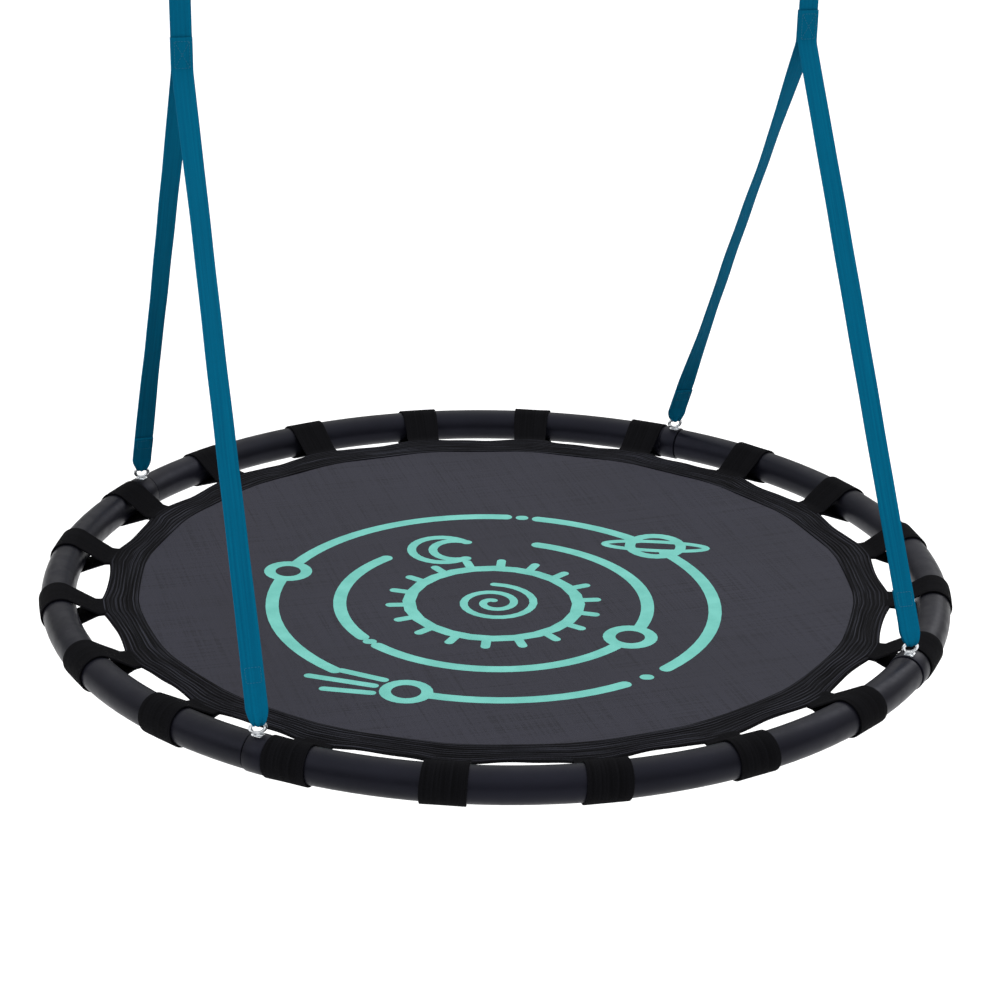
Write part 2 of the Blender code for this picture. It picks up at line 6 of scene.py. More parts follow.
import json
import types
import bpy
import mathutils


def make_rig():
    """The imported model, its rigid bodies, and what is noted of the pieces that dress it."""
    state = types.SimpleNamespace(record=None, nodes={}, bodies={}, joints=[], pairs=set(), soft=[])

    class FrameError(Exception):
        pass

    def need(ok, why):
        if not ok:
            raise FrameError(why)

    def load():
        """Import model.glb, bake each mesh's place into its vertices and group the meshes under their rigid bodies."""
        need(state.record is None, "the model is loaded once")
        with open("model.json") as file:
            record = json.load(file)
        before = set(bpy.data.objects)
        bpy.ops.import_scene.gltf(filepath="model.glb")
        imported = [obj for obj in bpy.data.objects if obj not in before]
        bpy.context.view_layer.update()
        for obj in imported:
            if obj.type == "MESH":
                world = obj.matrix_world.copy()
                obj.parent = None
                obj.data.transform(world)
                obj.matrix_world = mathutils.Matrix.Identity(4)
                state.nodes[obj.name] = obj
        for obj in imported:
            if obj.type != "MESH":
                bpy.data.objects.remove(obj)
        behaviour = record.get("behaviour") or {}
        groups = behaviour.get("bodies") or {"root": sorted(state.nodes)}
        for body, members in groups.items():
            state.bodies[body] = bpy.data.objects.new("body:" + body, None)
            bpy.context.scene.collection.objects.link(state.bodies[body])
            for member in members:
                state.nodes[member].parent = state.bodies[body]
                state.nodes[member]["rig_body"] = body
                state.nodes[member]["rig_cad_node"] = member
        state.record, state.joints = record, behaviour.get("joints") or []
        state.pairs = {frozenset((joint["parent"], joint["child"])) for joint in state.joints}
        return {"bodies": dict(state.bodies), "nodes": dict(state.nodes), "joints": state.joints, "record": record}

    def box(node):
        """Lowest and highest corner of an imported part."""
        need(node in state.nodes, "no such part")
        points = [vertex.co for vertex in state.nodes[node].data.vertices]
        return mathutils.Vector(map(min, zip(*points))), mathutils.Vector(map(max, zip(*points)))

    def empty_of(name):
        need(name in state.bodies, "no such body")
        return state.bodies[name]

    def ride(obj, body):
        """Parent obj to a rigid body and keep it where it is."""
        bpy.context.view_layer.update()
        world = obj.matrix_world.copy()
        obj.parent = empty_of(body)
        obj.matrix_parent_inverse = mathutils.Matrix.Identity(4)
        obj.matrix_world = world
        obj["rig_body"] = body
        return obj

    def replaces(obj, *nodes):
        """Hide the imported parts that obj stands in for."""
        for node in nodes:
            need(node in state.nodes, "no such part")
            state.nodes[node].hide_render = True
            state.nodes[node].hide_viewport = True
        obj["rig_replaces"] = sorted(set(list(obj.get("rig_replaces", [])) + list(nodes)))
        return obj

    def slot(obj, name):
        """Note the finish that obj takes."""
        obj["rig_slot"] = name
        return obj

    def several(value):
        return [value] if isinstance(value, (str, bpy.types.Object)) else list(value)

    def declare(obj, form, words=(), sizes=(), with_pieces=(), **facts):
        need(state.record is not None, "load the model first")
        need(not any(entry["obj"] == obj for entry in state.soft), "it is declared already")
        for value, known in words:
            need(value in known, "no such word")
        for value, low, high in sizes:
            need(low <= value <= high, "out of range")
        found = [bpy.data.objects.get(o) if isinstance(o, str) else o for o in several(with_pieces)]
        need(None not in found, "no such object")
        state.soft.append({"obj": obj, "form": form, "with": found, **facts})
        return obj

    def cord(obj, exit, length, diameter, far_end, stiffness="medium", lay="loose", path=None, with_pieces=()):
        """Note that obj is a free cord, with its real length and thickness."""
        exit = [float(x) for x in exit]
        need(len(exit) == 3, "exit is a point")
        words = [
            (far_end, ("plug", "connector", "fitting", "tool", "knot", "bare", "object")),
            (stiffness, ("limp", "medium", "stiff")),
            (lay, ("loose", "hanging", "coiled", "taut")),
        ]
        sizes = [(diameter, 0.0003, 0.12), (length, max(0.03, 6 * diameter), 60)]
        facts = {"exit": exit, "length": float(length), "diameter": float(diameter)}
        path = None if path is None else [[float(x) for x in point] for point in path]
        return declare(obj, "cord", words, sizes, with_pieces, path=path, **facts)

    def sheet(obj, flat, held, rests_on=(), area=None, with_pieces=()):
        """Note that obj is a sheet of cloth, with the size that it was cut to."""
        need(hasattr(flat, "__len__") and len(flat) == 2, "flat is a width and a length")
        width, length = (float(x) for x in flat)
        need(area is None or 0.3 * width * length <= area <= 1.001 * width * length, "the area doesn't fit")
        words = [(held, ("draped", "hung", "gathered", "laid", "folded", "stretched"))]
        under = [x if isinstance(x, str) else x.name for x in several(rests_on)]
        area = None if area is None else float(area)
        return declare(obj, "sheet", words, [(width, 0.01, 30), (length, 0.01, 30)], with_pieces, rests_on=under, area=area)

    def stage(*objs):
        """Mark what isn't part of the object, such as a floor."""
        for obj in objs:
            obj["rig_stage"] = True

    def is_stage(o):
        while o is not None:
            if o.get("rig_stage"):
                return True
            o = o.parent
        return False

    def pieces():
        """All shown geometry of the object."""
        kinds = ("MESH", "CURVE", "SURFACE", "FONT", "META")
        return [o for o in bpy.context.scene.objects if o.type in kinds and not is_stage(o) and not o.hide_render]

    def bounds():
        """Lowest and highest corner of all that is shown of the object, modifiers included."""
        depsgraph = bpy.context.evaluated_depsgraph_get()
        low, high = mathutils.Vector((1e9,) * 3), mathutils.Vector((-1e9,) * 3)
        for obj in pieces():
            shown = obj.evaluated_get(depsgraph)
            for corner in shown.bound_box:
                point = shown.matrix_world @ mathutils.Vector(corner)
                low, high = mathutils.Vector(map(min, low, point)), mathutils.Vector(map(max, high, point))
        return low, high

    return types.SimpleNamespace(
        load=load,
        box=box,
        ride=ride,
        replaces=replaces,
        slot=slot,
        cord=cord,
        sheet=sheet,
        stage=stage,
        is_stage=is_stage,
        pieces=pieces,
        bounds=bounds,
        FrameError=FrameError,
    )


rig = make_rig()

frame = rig.load()

import json
import random
from math import acos, asin, atan2, cos, degrees, hypot, pi, radians, sin, sqrt

import bmesh
import bpy
from mathutils import Matrix, Vector

CAD_BOX = [list(corner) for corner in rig.bounds()]
random.seed(41)

# Ring
RING_RADIUS = 0.491              # to the centreline of the tube
TUBE_RADIUS = 0.019
TUBE_WALL = 0.0015
LIP_RADIUS = 0.0202              # of the belled end, over its neighbour's swaged one
SWAGE_RADIUS = 0.0171
LIP_ANGLE = 2.33                 # degrees of arc round the ring, as for every angle here
SWAGE_ANGLE = 5.5
BOLT_ANGLE = 0.82
FIRST_SEAM = -135.0 - BOLT_ANGLE
QUARTERS = ("front", "right", "back", "left")
CORNERS = ("front_left", "front_right", "back_right", "back_left")

# Webbing
LOOP_OFFSET = 5.2
LOOP_STEP = 18.0
LOOP_HALF_ANGLE = 2.6
LOOP_COUNT = 20
LOOP_WIDTH = 0.045
STRAP_WIDTH = 0.022
WEBBING = 0.0019                 # thickness
JOIN_LENGTH = 0.035
LEG_TAIL = 0.057
RISER_TAIL = 0.062
BAR_EYE = 0.028                  # below the bar, where the riser and its tail come together
BESIDE = 0.0023                  # between the middles of two straps that lie on each other
CLEARANCE = 0.0003               # between a metal piece and what lies round it or on it
EYE_CLEARANCE = 0.0013           # between an eye's wire and the bunched strap under it
GATHERED = 0.37                  # share of a leg's width left where it is bunched in its eye
LEG_TWISTS = {                   # radians that a leg's middle is turned about its own length
    ("front", "left"): -0.29, ("back", "left"): -0.30,
    ("front", "right"): 0.05, ("back", "right"): -0.54,
}

# Stitching
STITCH_PITCH = 0.0030
STITCH_HALF_SIZE = (0.00122, 0.00038, 0.00032)      # along the row, across it, off the cloth
STITCH_LIFT = 0.0001
BOX_MARGIN = 0.004               # between a sewn box and the end of what it holds

# Hardware
EYE_RADIUS = 0.0055              # of its centreline, upwards
EYE_WIDER = 1.4                  # times as wide as it is high
EYE_WIRE = 0.0015
SHANK_RADIUS = 0.0025
THREAD_DEPTH = 0.0004
THREAD_STEP = 0.0005             # from crest to root along the shank
PLAIN_NECK = 0.0025              # of the shank, without thread
HOLE_CLEARANCE = 0.0004          # round the shank, in the tube
WASHER_SIZE = (0.010, 0.012, 0.0009)
WASHER_CORNER = 0.0022
DEE_ROD = 0.003
DEE_HALF_WIDTH = 0.016
DEE_SIDE = 0.009
DEE_CORNER = 0.004
HOOK_ROD = 0.004
HOOK_BEND = 0.016
HOOK_STRAIGHT = 0.040
GATE_RADIUS = 0.0038
PIN_RADIUS = 0.00125
PIN_BELOW_HANG = 0.0135          # the hang line is the origin, at the top of the bow's bore
BOW_ABOVE_PIN = 0.0059           # where the bow's rod ends, over its tang
NOSE_BELOW_PIN = 0.0369
TANG_SIZE = (0.003, 0.0056, 0.0112)
TANG_ABOVE_PIN = 0.0029          # its middle
FORK_SIZE = (0.0036, 0.012, 0.0148)                 # of the slot in the gate's head
FORK_ABOVE_PIN = 0.0026          # its middle

# Hem and mat
HEM_RIBS = 9
MAT_SAG = 0.007
MAT_THICKNESS = 0.0012
MAT_HELD = 0.006                 # of the mat's edge inside the hem

# Heights and places read from the frame
RING_Z = sum(corner.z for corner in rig.box("ring_tube_front")) / 2
RING_MIDDLE = Vector((0.0, 0.0, RING_Z))
HEM_LOW = RING_Z - sum(corner.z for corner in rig.box("mat_hem")) / 2     # hem below the ring's plane
HEM_AT_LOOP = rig.box("mat_hem")[1].y
HEM_BETWEEN = 0.890 * RING_RADIUS
HEM_INNER = 0.82 * RING_RADIUS
MAT_RADIUS = HEM_INNER + MAT_HELD
HANG_X = sum(corner.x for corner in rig.box("riser_right")) / 2
JOIN_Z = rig.box("riser_right")[0].z
DEE_BAR_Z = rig.box("d_ring_right")[0].z + DEE_ROD
EYE_X = sum(corner.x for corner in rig.box("eye_bolt_back_right")) / 2
WIRE_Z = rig.box("eye_bolt_back_right")[1].z - EYE_WIRE


# -------- materials

def colour(code):
    """An sRGB hex code as linear red, green, blue and alpha."""
    parts = [int(code[k:k + 2], 16) / 255 for k in (1, 3, 5)]
    return (*[p / 12.92 if p <= 0.04045 else ((p + 0.055) / 1.055) ** 2.4 for p in parts], 1.0)


def add(tree, kind, inputs=None, stops=(), **settings):
    """Adds a node with its settings, its ramp's (place, hex) stops, and its inputs by name or number."""
    made = tree.nodes.new(f"ShaderNode{kind}")
    for name, value in settings.items():
        setattr(made, name, value)
    for k, (place, code) in enumerate(stops):
        points = made.color_ramp.elements
        point = points[k] if k < len(points) else points.new(place)
        point.position = place
        point.color = colour(code)
    for name, value in (inputs or {}).items():
        if isinstance(value, bpy.types.NodeSocket):
            tree.links.new(value, made.inputs[name])
        else:
            made.inputs[name].default_value = value
    return made


def finish(name, **constants):
    """A new material with its shader's constants set, its tree and its shader."""
    made = bpy.data.materials.new(name)
    made.use_nodes = True
    shader = made.node_tree.nodes["Principled BSDF"]
    for socket, value in constants.items():
        shader.inputs[socket.replace("_", " ")].default_value = value
    return made, made.node_tree, shader


def connect(tree, shader, **outputs):
    """Links outputs to the shader's own sockets."""
    for socket, output in outputs.items():
        tree.links.new(output, shader.inputs[socket.replace("_", " ")])


def powder_coated_steel():
    """Polyester powder baked on steel tube: satin charcoal, fine orange peel, duller where hands rub."""
    made, tree, shader = finish(
        "powder_coated_steel", IOR=1.5, Specular_IOR_Level=0.17, Specular_Tint=colour("#D2D5F0")
    )
    place = add(tree, "TexCoord").outputs["Object"]
    peel = add(tree, "TexNoise", {"Vector": place, "Scale": 700.0, "Detail": 2.0})      # 1.4 mm peel
    cloud = add(tree, "TexNoise", {"Vector": place, "Scale": 9.0, "Detail": 3.0})       # 110 mm clouds
    rub = add(tree, "TexNoise", {"Vector": place, "Scale": 60.0, "Detail": 4.0, "Roughness": 0.6})
    speck = add(tree, "TexNoise", {"Vector": place, "Scale": 1400.0, "Detail": 1.0})    # 0.7 mm specks
    speckled = {0: speck.outputs["Fac"], 1: 0.25, 2: cloud.outputs["Fac"]}
    tone = add(tree, "Math", speckled, operation="MULTIPLY_ADD")
    tint = add(tree, "ValToRGB", {"Fac": tone.outputs[0]}, stops=((0.45, "#06060A"), (0.80, "#0E0E15")))
    rubbed = {"Value": rub.outputs["Fac"], "From Min": 0.3, "From Max": 0.7, "To Min": 0.34, "To Max": 0.48}
    rough = add(tree, "MapRange", rubbed)
    relief = add(tree, "Bump", {"Height": peel.outputs["Fac"], "Distance": 0.00005})
    connect(tree, shader, Base_Color=tint.outputs["Color"], Roughness=rough.outputs[0])
    connect(tree, shader, Normal=relief.outputs["Normal"])
    return made


def webbing(name, dark, light, rib, depth):
    """Woven polyester tape, matt: warp ribs along it and weft picks across it, from its own UV in metres."""
    made, tree, shader = finish(name, Roughness=0.9, IOR=1.45, Specular_IOR_Level=0.05)
    uv = add(tree, "UVMap", uv_map="UVMap").outputs["UV"]
    split = add(tree, "SeparateXYZ", {0: uv})
    warp = add(tree, "Math", {0: split.outputs["X"], 1: 2 * pi / rib}, operation="MULTIPLY")
    weft = add(tree, "Math", {0: split.outputs["Y"], 1: 2 * pi / (rib * 1.3)}, operation="MULTIPLY")
    warp = add(tree, "Math", {0: warp.outputs[0]}, operation="SINE")
    weft = add(tree, "Math", {0: weft.outputs[0]}, operation="SINE")
    weave = add(tree, "Math", {0: warp.outputs[0], 1: weft.outputs[0]}, operation="MULTIPLY")
    height = add(tree, "Math", {0: weave.outputs[0], 1: 0.5, 2: warp.outputs[0]}, operation="MULTIPLY_ADD")
    stretched = add(tree, "Mapping", {"Vector": uv, "Scale": (420.0, 6.0, 1.0)})        # 2 mm streaks
    streak = add(tree, "TexNoise", {"Vector": stretched.outputs[0], "Scale": 1.0, "Detail": 3.0})
    fuzz = add(tree, "TexNoise", {"Vector": uv, "Scale": 1100.0, "Detail": 2.0})        # 0.9 mm fuzz
    woven = {0: height.outputs[0], 1: 0.05, 2: streak.outputs["Fac"]}
    tone = add(tree, "Math", woven, operation="MULTIPLY_ADD")
    tone = add(tree, "Math", {0: fuzz.outputs["Fac"], 1: 0.3, 2: tone.outputs[0]}, operation="MULTIPLY_ADD")
    tint = add(tree, "ValToRGB", {"Fac": tone.outputs[0]}, stops=((0.40, dark), (0.90, light)))
    relief = add(tree, "Bump", {"Height": height.outputs[0], "Distance": depth})
    connect(tree, shader, Base_Color=tint.outputs["Color"], Normal=relief.outputs["Normal"])
    return made


def coated_mesh_cloth():
    """Vinyl-coated polyester mesh, a close square weave: matt, with streaks where yarns are thicker."""
    made, tree, shader = finish("coated_mesh_cloth", Roughness=0.7, IOR=1.5, Specular_IOR_Level=0.15)
    pitch = 0.0016                # the real cloth has 1 mm, drawn a little coarser so that it shows
    place = add(tree, "TexCoord").outputs["Object"]
    split = add(tree, "SeparateXYZ", {0: place})
    waves = []
    for axis in ("X", "Y"):
        turned = add(tree, "Math", {0: split.outputs[axis], 1: 2 * pi / pitch}, operation="MULTIPLY")
        waves.append(add(tree, "Math", {0: turned.outputs[0]}, operation="SINE").outputs[0])
    cross = add(tree, "Math", {0: waves[0], 1: waves[1]}, operation="MAXIMUM")
    streaks = []
    for scale in ((7.0, 420.0, 1.0), (420.0, 7.0, 1.0)):
        drawn = add(tree, "Mapping", {"Vector": place, "Scale": scale})
        noise = add(tree, "TexNoise", {"Vector": drawn.outputs[0], "Scale": 1.0, "Detail": 3.0})
        streaks.append(noise.outputs["Fac"])
    yarn = add(tree, "Math", {0: streaks[0], 1: streaks[1]}, operation="ADD")
    tone = add(tree, "Math", {0: cross.outputs[0], 1: 0.06, 2: yarn.outputs[0]}, operation="MULTIPLY_ADD")
    tint = add(tree, "ValToRGB", {"Fac": tone.outputs[0]}, stops=((0.76, "#1A1A21"), (1.00, "#2E2E38")))
    cloud = add(tree, "TexNoise", {"Vector": place, "Scale": 5.0, "Detail": 2.0})
    dust = {0: cloud.outputs["Fac"], 6: tint.outputs["Color"], 7: colour("#26262E")}     # 6 and 7 are colours
    dusted = add(tree, "Mix", dust, data_type="RGBA")
    relief = add(tree, "Bump", {"Height": cross.outputs[0], "Distance": 0.00012})
    connect(tree, shader, Base_Color=dusted.outputs[2], Normal=relief.outputs["Normal"])
    return made


def gathered_hem_cloth():
    """Black polyester tape gathered by many rows of stitching: matt black, with paler strands, and a painted highlight
    that makes the crests of its ribs paler.
    """
    made, tree, shader = finish("gathered_hem_cloth", Roughness=0.85, Specular_IOR_Level=0.06)
    uv = add(tree, "UVMap", uv_map="UVMap").outputs["UV"]
    drawn = add(tree, "Mapping", {"Vector": uv, "Scale": (9.0, 700.0, 1.0)})            # 1.4 mm strands
    strand = {"Vector": drawn.outputs[0], "Scale": 1.0, "Detail": 4.0, "Roughness": 0.6}
    streak = add(tree, "TexNoise", strand)
    grain = add(tree, "TexNoise", {"Vector": uv, "Scale": 1100.0, "Detail": 2.0})
    crest_highlight = add(tree, "Attribute", attribute_name="crest_highlight").outputs["Fac"]
    grained = {0: grain.outputs["Fac"], 1: 0.3, 2: streak.outputs["Fac"]}
    tone = add(tree, "Math", grained, operation="MULTIPLY_ADD")
    # the crests of the ribs are painted paler: a painted highlight where light catches them, not a colour of the tape
    tone = add(tree, "Math", {0: crest_highlight, 1: 0.22, 2: tone.outputs[0]}, operation="MULTIPLY_ADD")
    # the palest stop is reached by the paler strands and mostly by the painted highlight on the crests
    strands_and_highlight = ((0.62, "#010102"), (0.84, "#0B0B0E"), (1.00, "#34353D"))
    tint = add(tree, "ValToRGB", {"Fac": tone.outputs[0]}, stops=strands_and_highlight)
    relief = add(tree, "Bump", {"Height": tone.outputs[0], "Distance": 0.0004})
    connect(tree, shader, Base_Color=tint.outputs["Color"], Normal=relief.outputs["Normal"])
    return made


def mint_screen_ink():
    """Plastisol screen ink on the mesh: matt mint, the weave showing through it, a little worn."""
    made, tree, shader = finish("mint_screen_ink", Roughness=0.7, IOR=1.5, Specular_IOR_Level=0.25)
    place = add(tree, "TexCoord").outputs["Object"]
    worn = add(tree, "TexNoise", {"Vector": place, "Scale": 40.0, "Detail": 4.0})
    tint = add(tree, "ValToRGB", {"Fac": worn.outputs["Fac"]}, stops=((0.3, "#5BA59B"), (0.7, "#69B3A9")))
    grain = add(tree, "TexNoise", {"Vector": place, "Scale": 900.0, "Detail": 1.0})
    relief = add(tree, "Bump", {"Height": grain.outputs["Fac"], "Distance": 0.00008})
    connect(tree, shader, Base_Color=tint.outputs["Color"], Normal=relief.outputs["Normal"])
    return made


def bright_zinc_plate():
    """Electroplated zinc, clear passivated: bright, with the faint cloud of a barrel finish."""
    made, tree, shader = finish("bright_zinc_plate", Metallic=1.0)
    place = add(tree, "TexCoord").outputs["Object"]
    cloud = add(tree, "TexNoise", {"Vector": place, "Scale": 140.0, "Detail": 4.0})
    scuff = add(tree, "TexNoise", {"Vector": place, "Scale": 900.0, "Detail": 3.0})
    tint = add(tree, "ValToRGB", {"Fac": cloud.outputs["Fac"]}, stops=((0.35, "#C4C7CB"), (0.65, "#E2E4E6")))
    dulled = {"Value": cloud.outputs["Fac"], "From Min": 0.3, "From Max": 0.7, "To Min": 0.16, "To Max": 0.34}
    rough = add(tree, "MapRange", dulled)
    relief = add(tree, "Bump", {"Height": scuff.outputs["Fac"], "Distance": 0.00002})
    connect(tree, shader, Base_Color=tint.outputs["Color"], Roughness=rough.outputs[0])
    connect(tree, shader, Normal=relief.outputs["Normal"])
    return made


def drawn_spring_wire():
    """Drawn carbon steel wire with a thin oil film: grey metal, finely streaked."""
    made, tree, shader = finish("drawn_spring_wire", Metallic=1.0, Roughness=0.32)
    place = add(tree, "TexCoord").outputs["Object"]
    drawn = add(tree, "TexNoise", {"Vector": place, "Scale": 1500.0, "Detail": 2.0})
    tint = add(tree, "ValToRGB", {"Fac": drawn.outputs["Fac"]}, stops=((0.3, "#8C8C8E"), (0.7, "#B4B4B6")))
    connect(tree, shader, Base_Color=tint.outputs["Color"])
    return made


def bonded_thread(name, dark, light):
    """Bonded polyester sewing thread: three plies twisted, with a slight gloss."""
    made, tree, shader = finish(name, Roughness=0.6, Specular_IOR_Level=0.3)
    place = add(tree, "TexCoord").outputs["Object"]
    ply = add(tree, "TexNoise", {"Vector": place, "Scale": 2500.0, "Detail": 1.0})
    tint = add(tree, "ValToRGB", {"Fac": ply.outputs["Fac"]}, stops=((0.35, dark), (0.65, light)))
    connect(tree, shader, Base_Color=tint.outputs["Color"])
    return made


# -------- modelling

def deselect():
    """Leaves edit mode and selects nothing."""
    if bpy.context.mode != "OBJECT":
        bpy.ops.object.mode_set(mode="OBJECT")
    bpy.ops.object.select_all(action="DESELECT")


def only(piece):
    """Selects one piece and makes it active."""
    deselect()
    piece.select_set(True)
    bpy.context.view_layer.objects.active = piece


def named(name):
    """The primitive just added, under its own name, with its place put into its mesh."""
    piece = bpy.context.object
    piece.name = name
    piece.data.name = name
    only(piece)
    bpy.ops.object.transform_apply(location=True, rotation=True, scale=True)
    return piece


def edit(piece):
    """Opens one piece in edit mode, selected all over."""
    only(piece)
    bpy.ops.object.mode_set(mode="EDIT")
    bpy.ops.mesh.select_all(action="SELECT")


def modify(piece, kind, **settings):
    """Adds a modifier and applies it."""
    only(piece)
    change = piece.modifiers.new(kind.lower(), kind)
    for name, value in settings.items():
        setattr(change, name, value)
    bpy.ops.object.modifier_apply(modifier=change.name)


def combine(piece, tool, operation):
    """Cuts a tool out of a piece, or adds it, and removes the tool."""
    modify(piece, "BOOLEAN", object=tool, operation=operation, solver="EXACT")
    bpy.data.objects.remove(tool)


def smooth(piece, angle):
    """Shades a piece smooth, but for edges sharper than an angle in degrees."""
    only(piece)
    bpy.ops.object.shade_smooth_by_angle(angle=radians(angle))


def tidy_mesh(piece):
    """Merges doubled corners and turns every face outwards."""
    edit(piece)
    bpy.ops.mesh.remove_doubles(threshold=0.00001)
    bpy.ops.mesh.normals_make_consistent(inside=False)
    bpy.ops.object.mode_set(mode="OBJECT")


def merge(name, pieces):
    """Joins pieces into one mesh under a new name."""
    only(pieces[0])
    for other in pieces[1:]:
        other.select_set(True)
    bpy.ops.object.join()
    piece = bpy.context.object
    piece.name = name
    piece.data.name = name
    return piece


def placed(name, data):
    """A new object for a mesh, a curve, a lamp or a camera."""
    made = bpy.data.objects.new(name, data)
    bpy.context.collection.objects.link(made)
    return made


def copy_turned(piece, name, turn):
    """Another piece with its own mesh, turned about the world's origin."""
    mesh = piece.data.copy()
    mesh.name = name
    mesh.transform(turn)
    return placed(name, mesh)


def wear(piece, material, slot, body, *nodes):
    """Gives a piece its finish, its slot and its body, and names the design nodes that it stands for."""
    piece.data.materials.clear()
    piece.data.materials.append(material)
    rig.slot(piece, slot)
    if nodes:
        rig.replaces(piece, *nodes)
    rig.ride(piece, body)


def mapped_grid(name, across, along, size, place):
    """A grid laid over a surface: place(u, v) gives a point for u and v from 0 to 1. Its UV is in metres."""
    deselect()
    bpy.ops.mesh.primitive_grid_add(x_subdivisions=across, y_subdivisions=along, size=1.0)
    piece = named(name)
    layer = piece.data.uv_layers["UVMap"].data
    for corner in layer:
        corner.uv = (corner.uv[0] * size[0], corner.uv[1] * size[1])
    for vertex in piece.data.vertices:
        vertex.co = place(vertex.co.x + 0.5, vertex.co.y + 0.5)
    return piece


def rod(name, points, radius, closed=False, radii=None, resolution=6):
    """A round rod along a line of points, with a radius of its own at each point if radii are given."""
    line = bpy.data.curves.new(name, "CURVE")
    line.dimensions = "3D"
    line.bevel_depth = radius
    line.bevel_resolution = resolution
    line.use_fill_caps = True
    spline = line.splines.new("POLY")
    spline.points.add(len(points) - 1)
    for k, (knot, point) in enumerate(zip(spline.points, points)):
        knot.co = (*point, 1.0)
        knot.radius = radii[k] / radius if radii else 1.0
    spline.use_cyclic_u = closed
    piece = placed(name, line)
    only(piece)
    bpy.ops.object.convert(target="MESH")
    tidy_mesh(piece)
    return piece


def thicken(piece, corner, even=False):
    """Gives a sheet the webbing's thickness and rounds the edges that turn more than a corner's angle."""
    modify(piece, "SOLIDIFY", thickness=WEBBING, offset=0.0, use_even_offset=even)
    modify(piece, "BEVEL", width=0.0005, segments=2, limit_method="ANGLE", angle_limit=radians(corner))
    smooth(piece, 50.0)


def between(value, low, high):
    """How far a value has come from low to high, as a share from 0 to 1."""
    return min(1.0, max(0.0, (value - low) / (high - low)))


def arc(middle, radius, start, stop, steps):
    """Points of an arc in a plane, angles in degrees."""
    turns = [radians(start + (stop - start) * k / steps) for k in range(steps + 1)]
    return [(middle[0] + radius * cos(turn), middle[1] + radius * sin(turn)) for turn in turns]


def on_ring(angle, outward=0.0, height=0.0):
    """A point beside the tube's centreline, at an angle round the ring."""
    reach = RING_RADIUS + outward
    return Vector((reach * cos(radians(angle)), reach * sin(radians(angle)), RING_Z + height))


# -------- ring

def tube_sections():
    """(angle from the seam, radius, steps) from the lip's bore over the tube to the swage and back inside."""
    bore = TUBE_RADIUS - TUBE_WALL
    inside = SWAGE_RADIUS - TUBE_WALL
    edge = 0.0006
    end = 90.0 + SWAGE_ANGLE
    return (
        (0.0, bore, 1), (0.0, LIP_RADIUS - edge, 1), (0.03, LIP_RADIUS - edge / 3, 1), (0.08, LIP_RADIUS, 1),
        (LIP_ANGLE - 0.1, LIP_RADIUS, 2), (LIP_ANGLE, LIP_RADIUS - edge / 2, 1),
        (LIP_ANGLE + 0.12, TUBE_RADIUS, 1),
        (89.76, TUBE_RADIUS, 42), (89.84, TUBE_RADIUS - edge, 1), (89.84, SWAGE_RADIUS, 1),
        (end, SWAGE_RADIUS, 4), (end, inside, 1), (89.6, inside, 4), (89.0, bore, 1), (0.0, bore, 42),
    )


def ring_tube():
    """One quarter, swept round the ring section by section, at the front seam."""
    deselect()
    sections = tube_sections()
    bpy.ops.mesh.primitive_circle_add(
        vertices=40, radius=sections[0][1], location=on_ring(0.0), rotation=(pi / 2, 0.0, 0.0)
    )
    piece = named("tube_front")
    edit(piece)
    angle, radius = sections[0][:2]
    for next_angle, next_radius, steps in sections[1:]:
        if next_angle == angle:
            bpy.ops.mesh.extrude_region_move()
        else:
            turn = radians(angle - next_angle)
            bpy.ops.mesh.spin(steps=steps, angle=turn, center=(0, 0, 0), axis=(0, 0, 1))
        if next_radius != radius:
            share = next_radius / radius
            bpy.ops.transform.resize(value=(share, share, share), center_override=on_ring(next_angle))
        angle, radius = next_angle, next_radius
    bpy.ops.object.mode_set(mode="OBJECT")
    tidy_mesh(piece)
    piece.data.transform(Matrix.Rotation(radians(FIRST_SEAM), 4, "Z"))
    for bolt in (FIRST_SEAM + BOLT_ANGLE, FIRST_SEAM + 90.0 + BOLT_ANGLE):
        deselect()
        bpy.ops.mesh.primitive_cylinder_add(
            vertices=24, radius=SHANK_RADIUS + HOLE_CLEARANCE, depth=0.03, location=on_ring(bolt, 0.0, 0.018)
        )
        combine(piece, named("drill"), "DIFFERENCE")
    smooth(piece, 30.0)
    return piece


def make_ring(steel):
    """One quarter is modelled and the other three are turned copies of it."""
    first = ring_tube()
    pieces = [first]
    for k in (1, 2, 3):
        pieces.append(copy_turned(first, f"tube_{QUARTERS[k]}", Matrix.Rotation(radians(90.0 * k), 4, "Z")))
    for piece, quarter in zip(pieces, QUARTERS):
        wear(piece, steel, "coated_steel", "seat", f"ring_tube_{quarter}")


# -------- lacing loops

def loop_line():
    """The loop's line in the tube's section: tail, once round the tube, tail.

    Gives its points and their distances along it. The tails leave the tube straight.
    """
    wrap = TUBE_RADIUS + CLEARANCE + WEBBING / 2
    tip = HEM_AT_LOOP - RING_RADIUS
    leave = degrees(acos(wrap / tip))
    tail = [(tip - 0.006, WEBBING * 0.55), (tip + 0.001, WEBBING * 0.55), (tip + 0.006, WEBBING * 0.8)]
    start = [(x, -HEM_LOW - y) for x, y in tail]
    around = arc((0.0, 0.0), wrap, -leave, leave, 44)
    end = [(x, -HEM_LOW + y) for x, y in tail[::-1]]
    points = start + around + end
    return points, measured(points)


def measured(points):
    """The distance of each point along their line."""
    lengths = [0.0]
    for before, after in zip(points, points[1:]):
        lengths.append(lengths[-1] + sqrt(sum((b - a) ** 2 for a, b in zip(before, after))))
    return lengths


def at_length(points, lengths, distance):
    """The point at a distance along a line."""
    for k in range(1, len(points)):
        if distance <= lengths[k] or k == len(points) - 1:
            share = (distance - lengths[k - 1]) / (lengths[k] - lengths[k - 1])
            return tuple(a + (b - a) * share for a, b in zip(points[k - 1], points[k]))


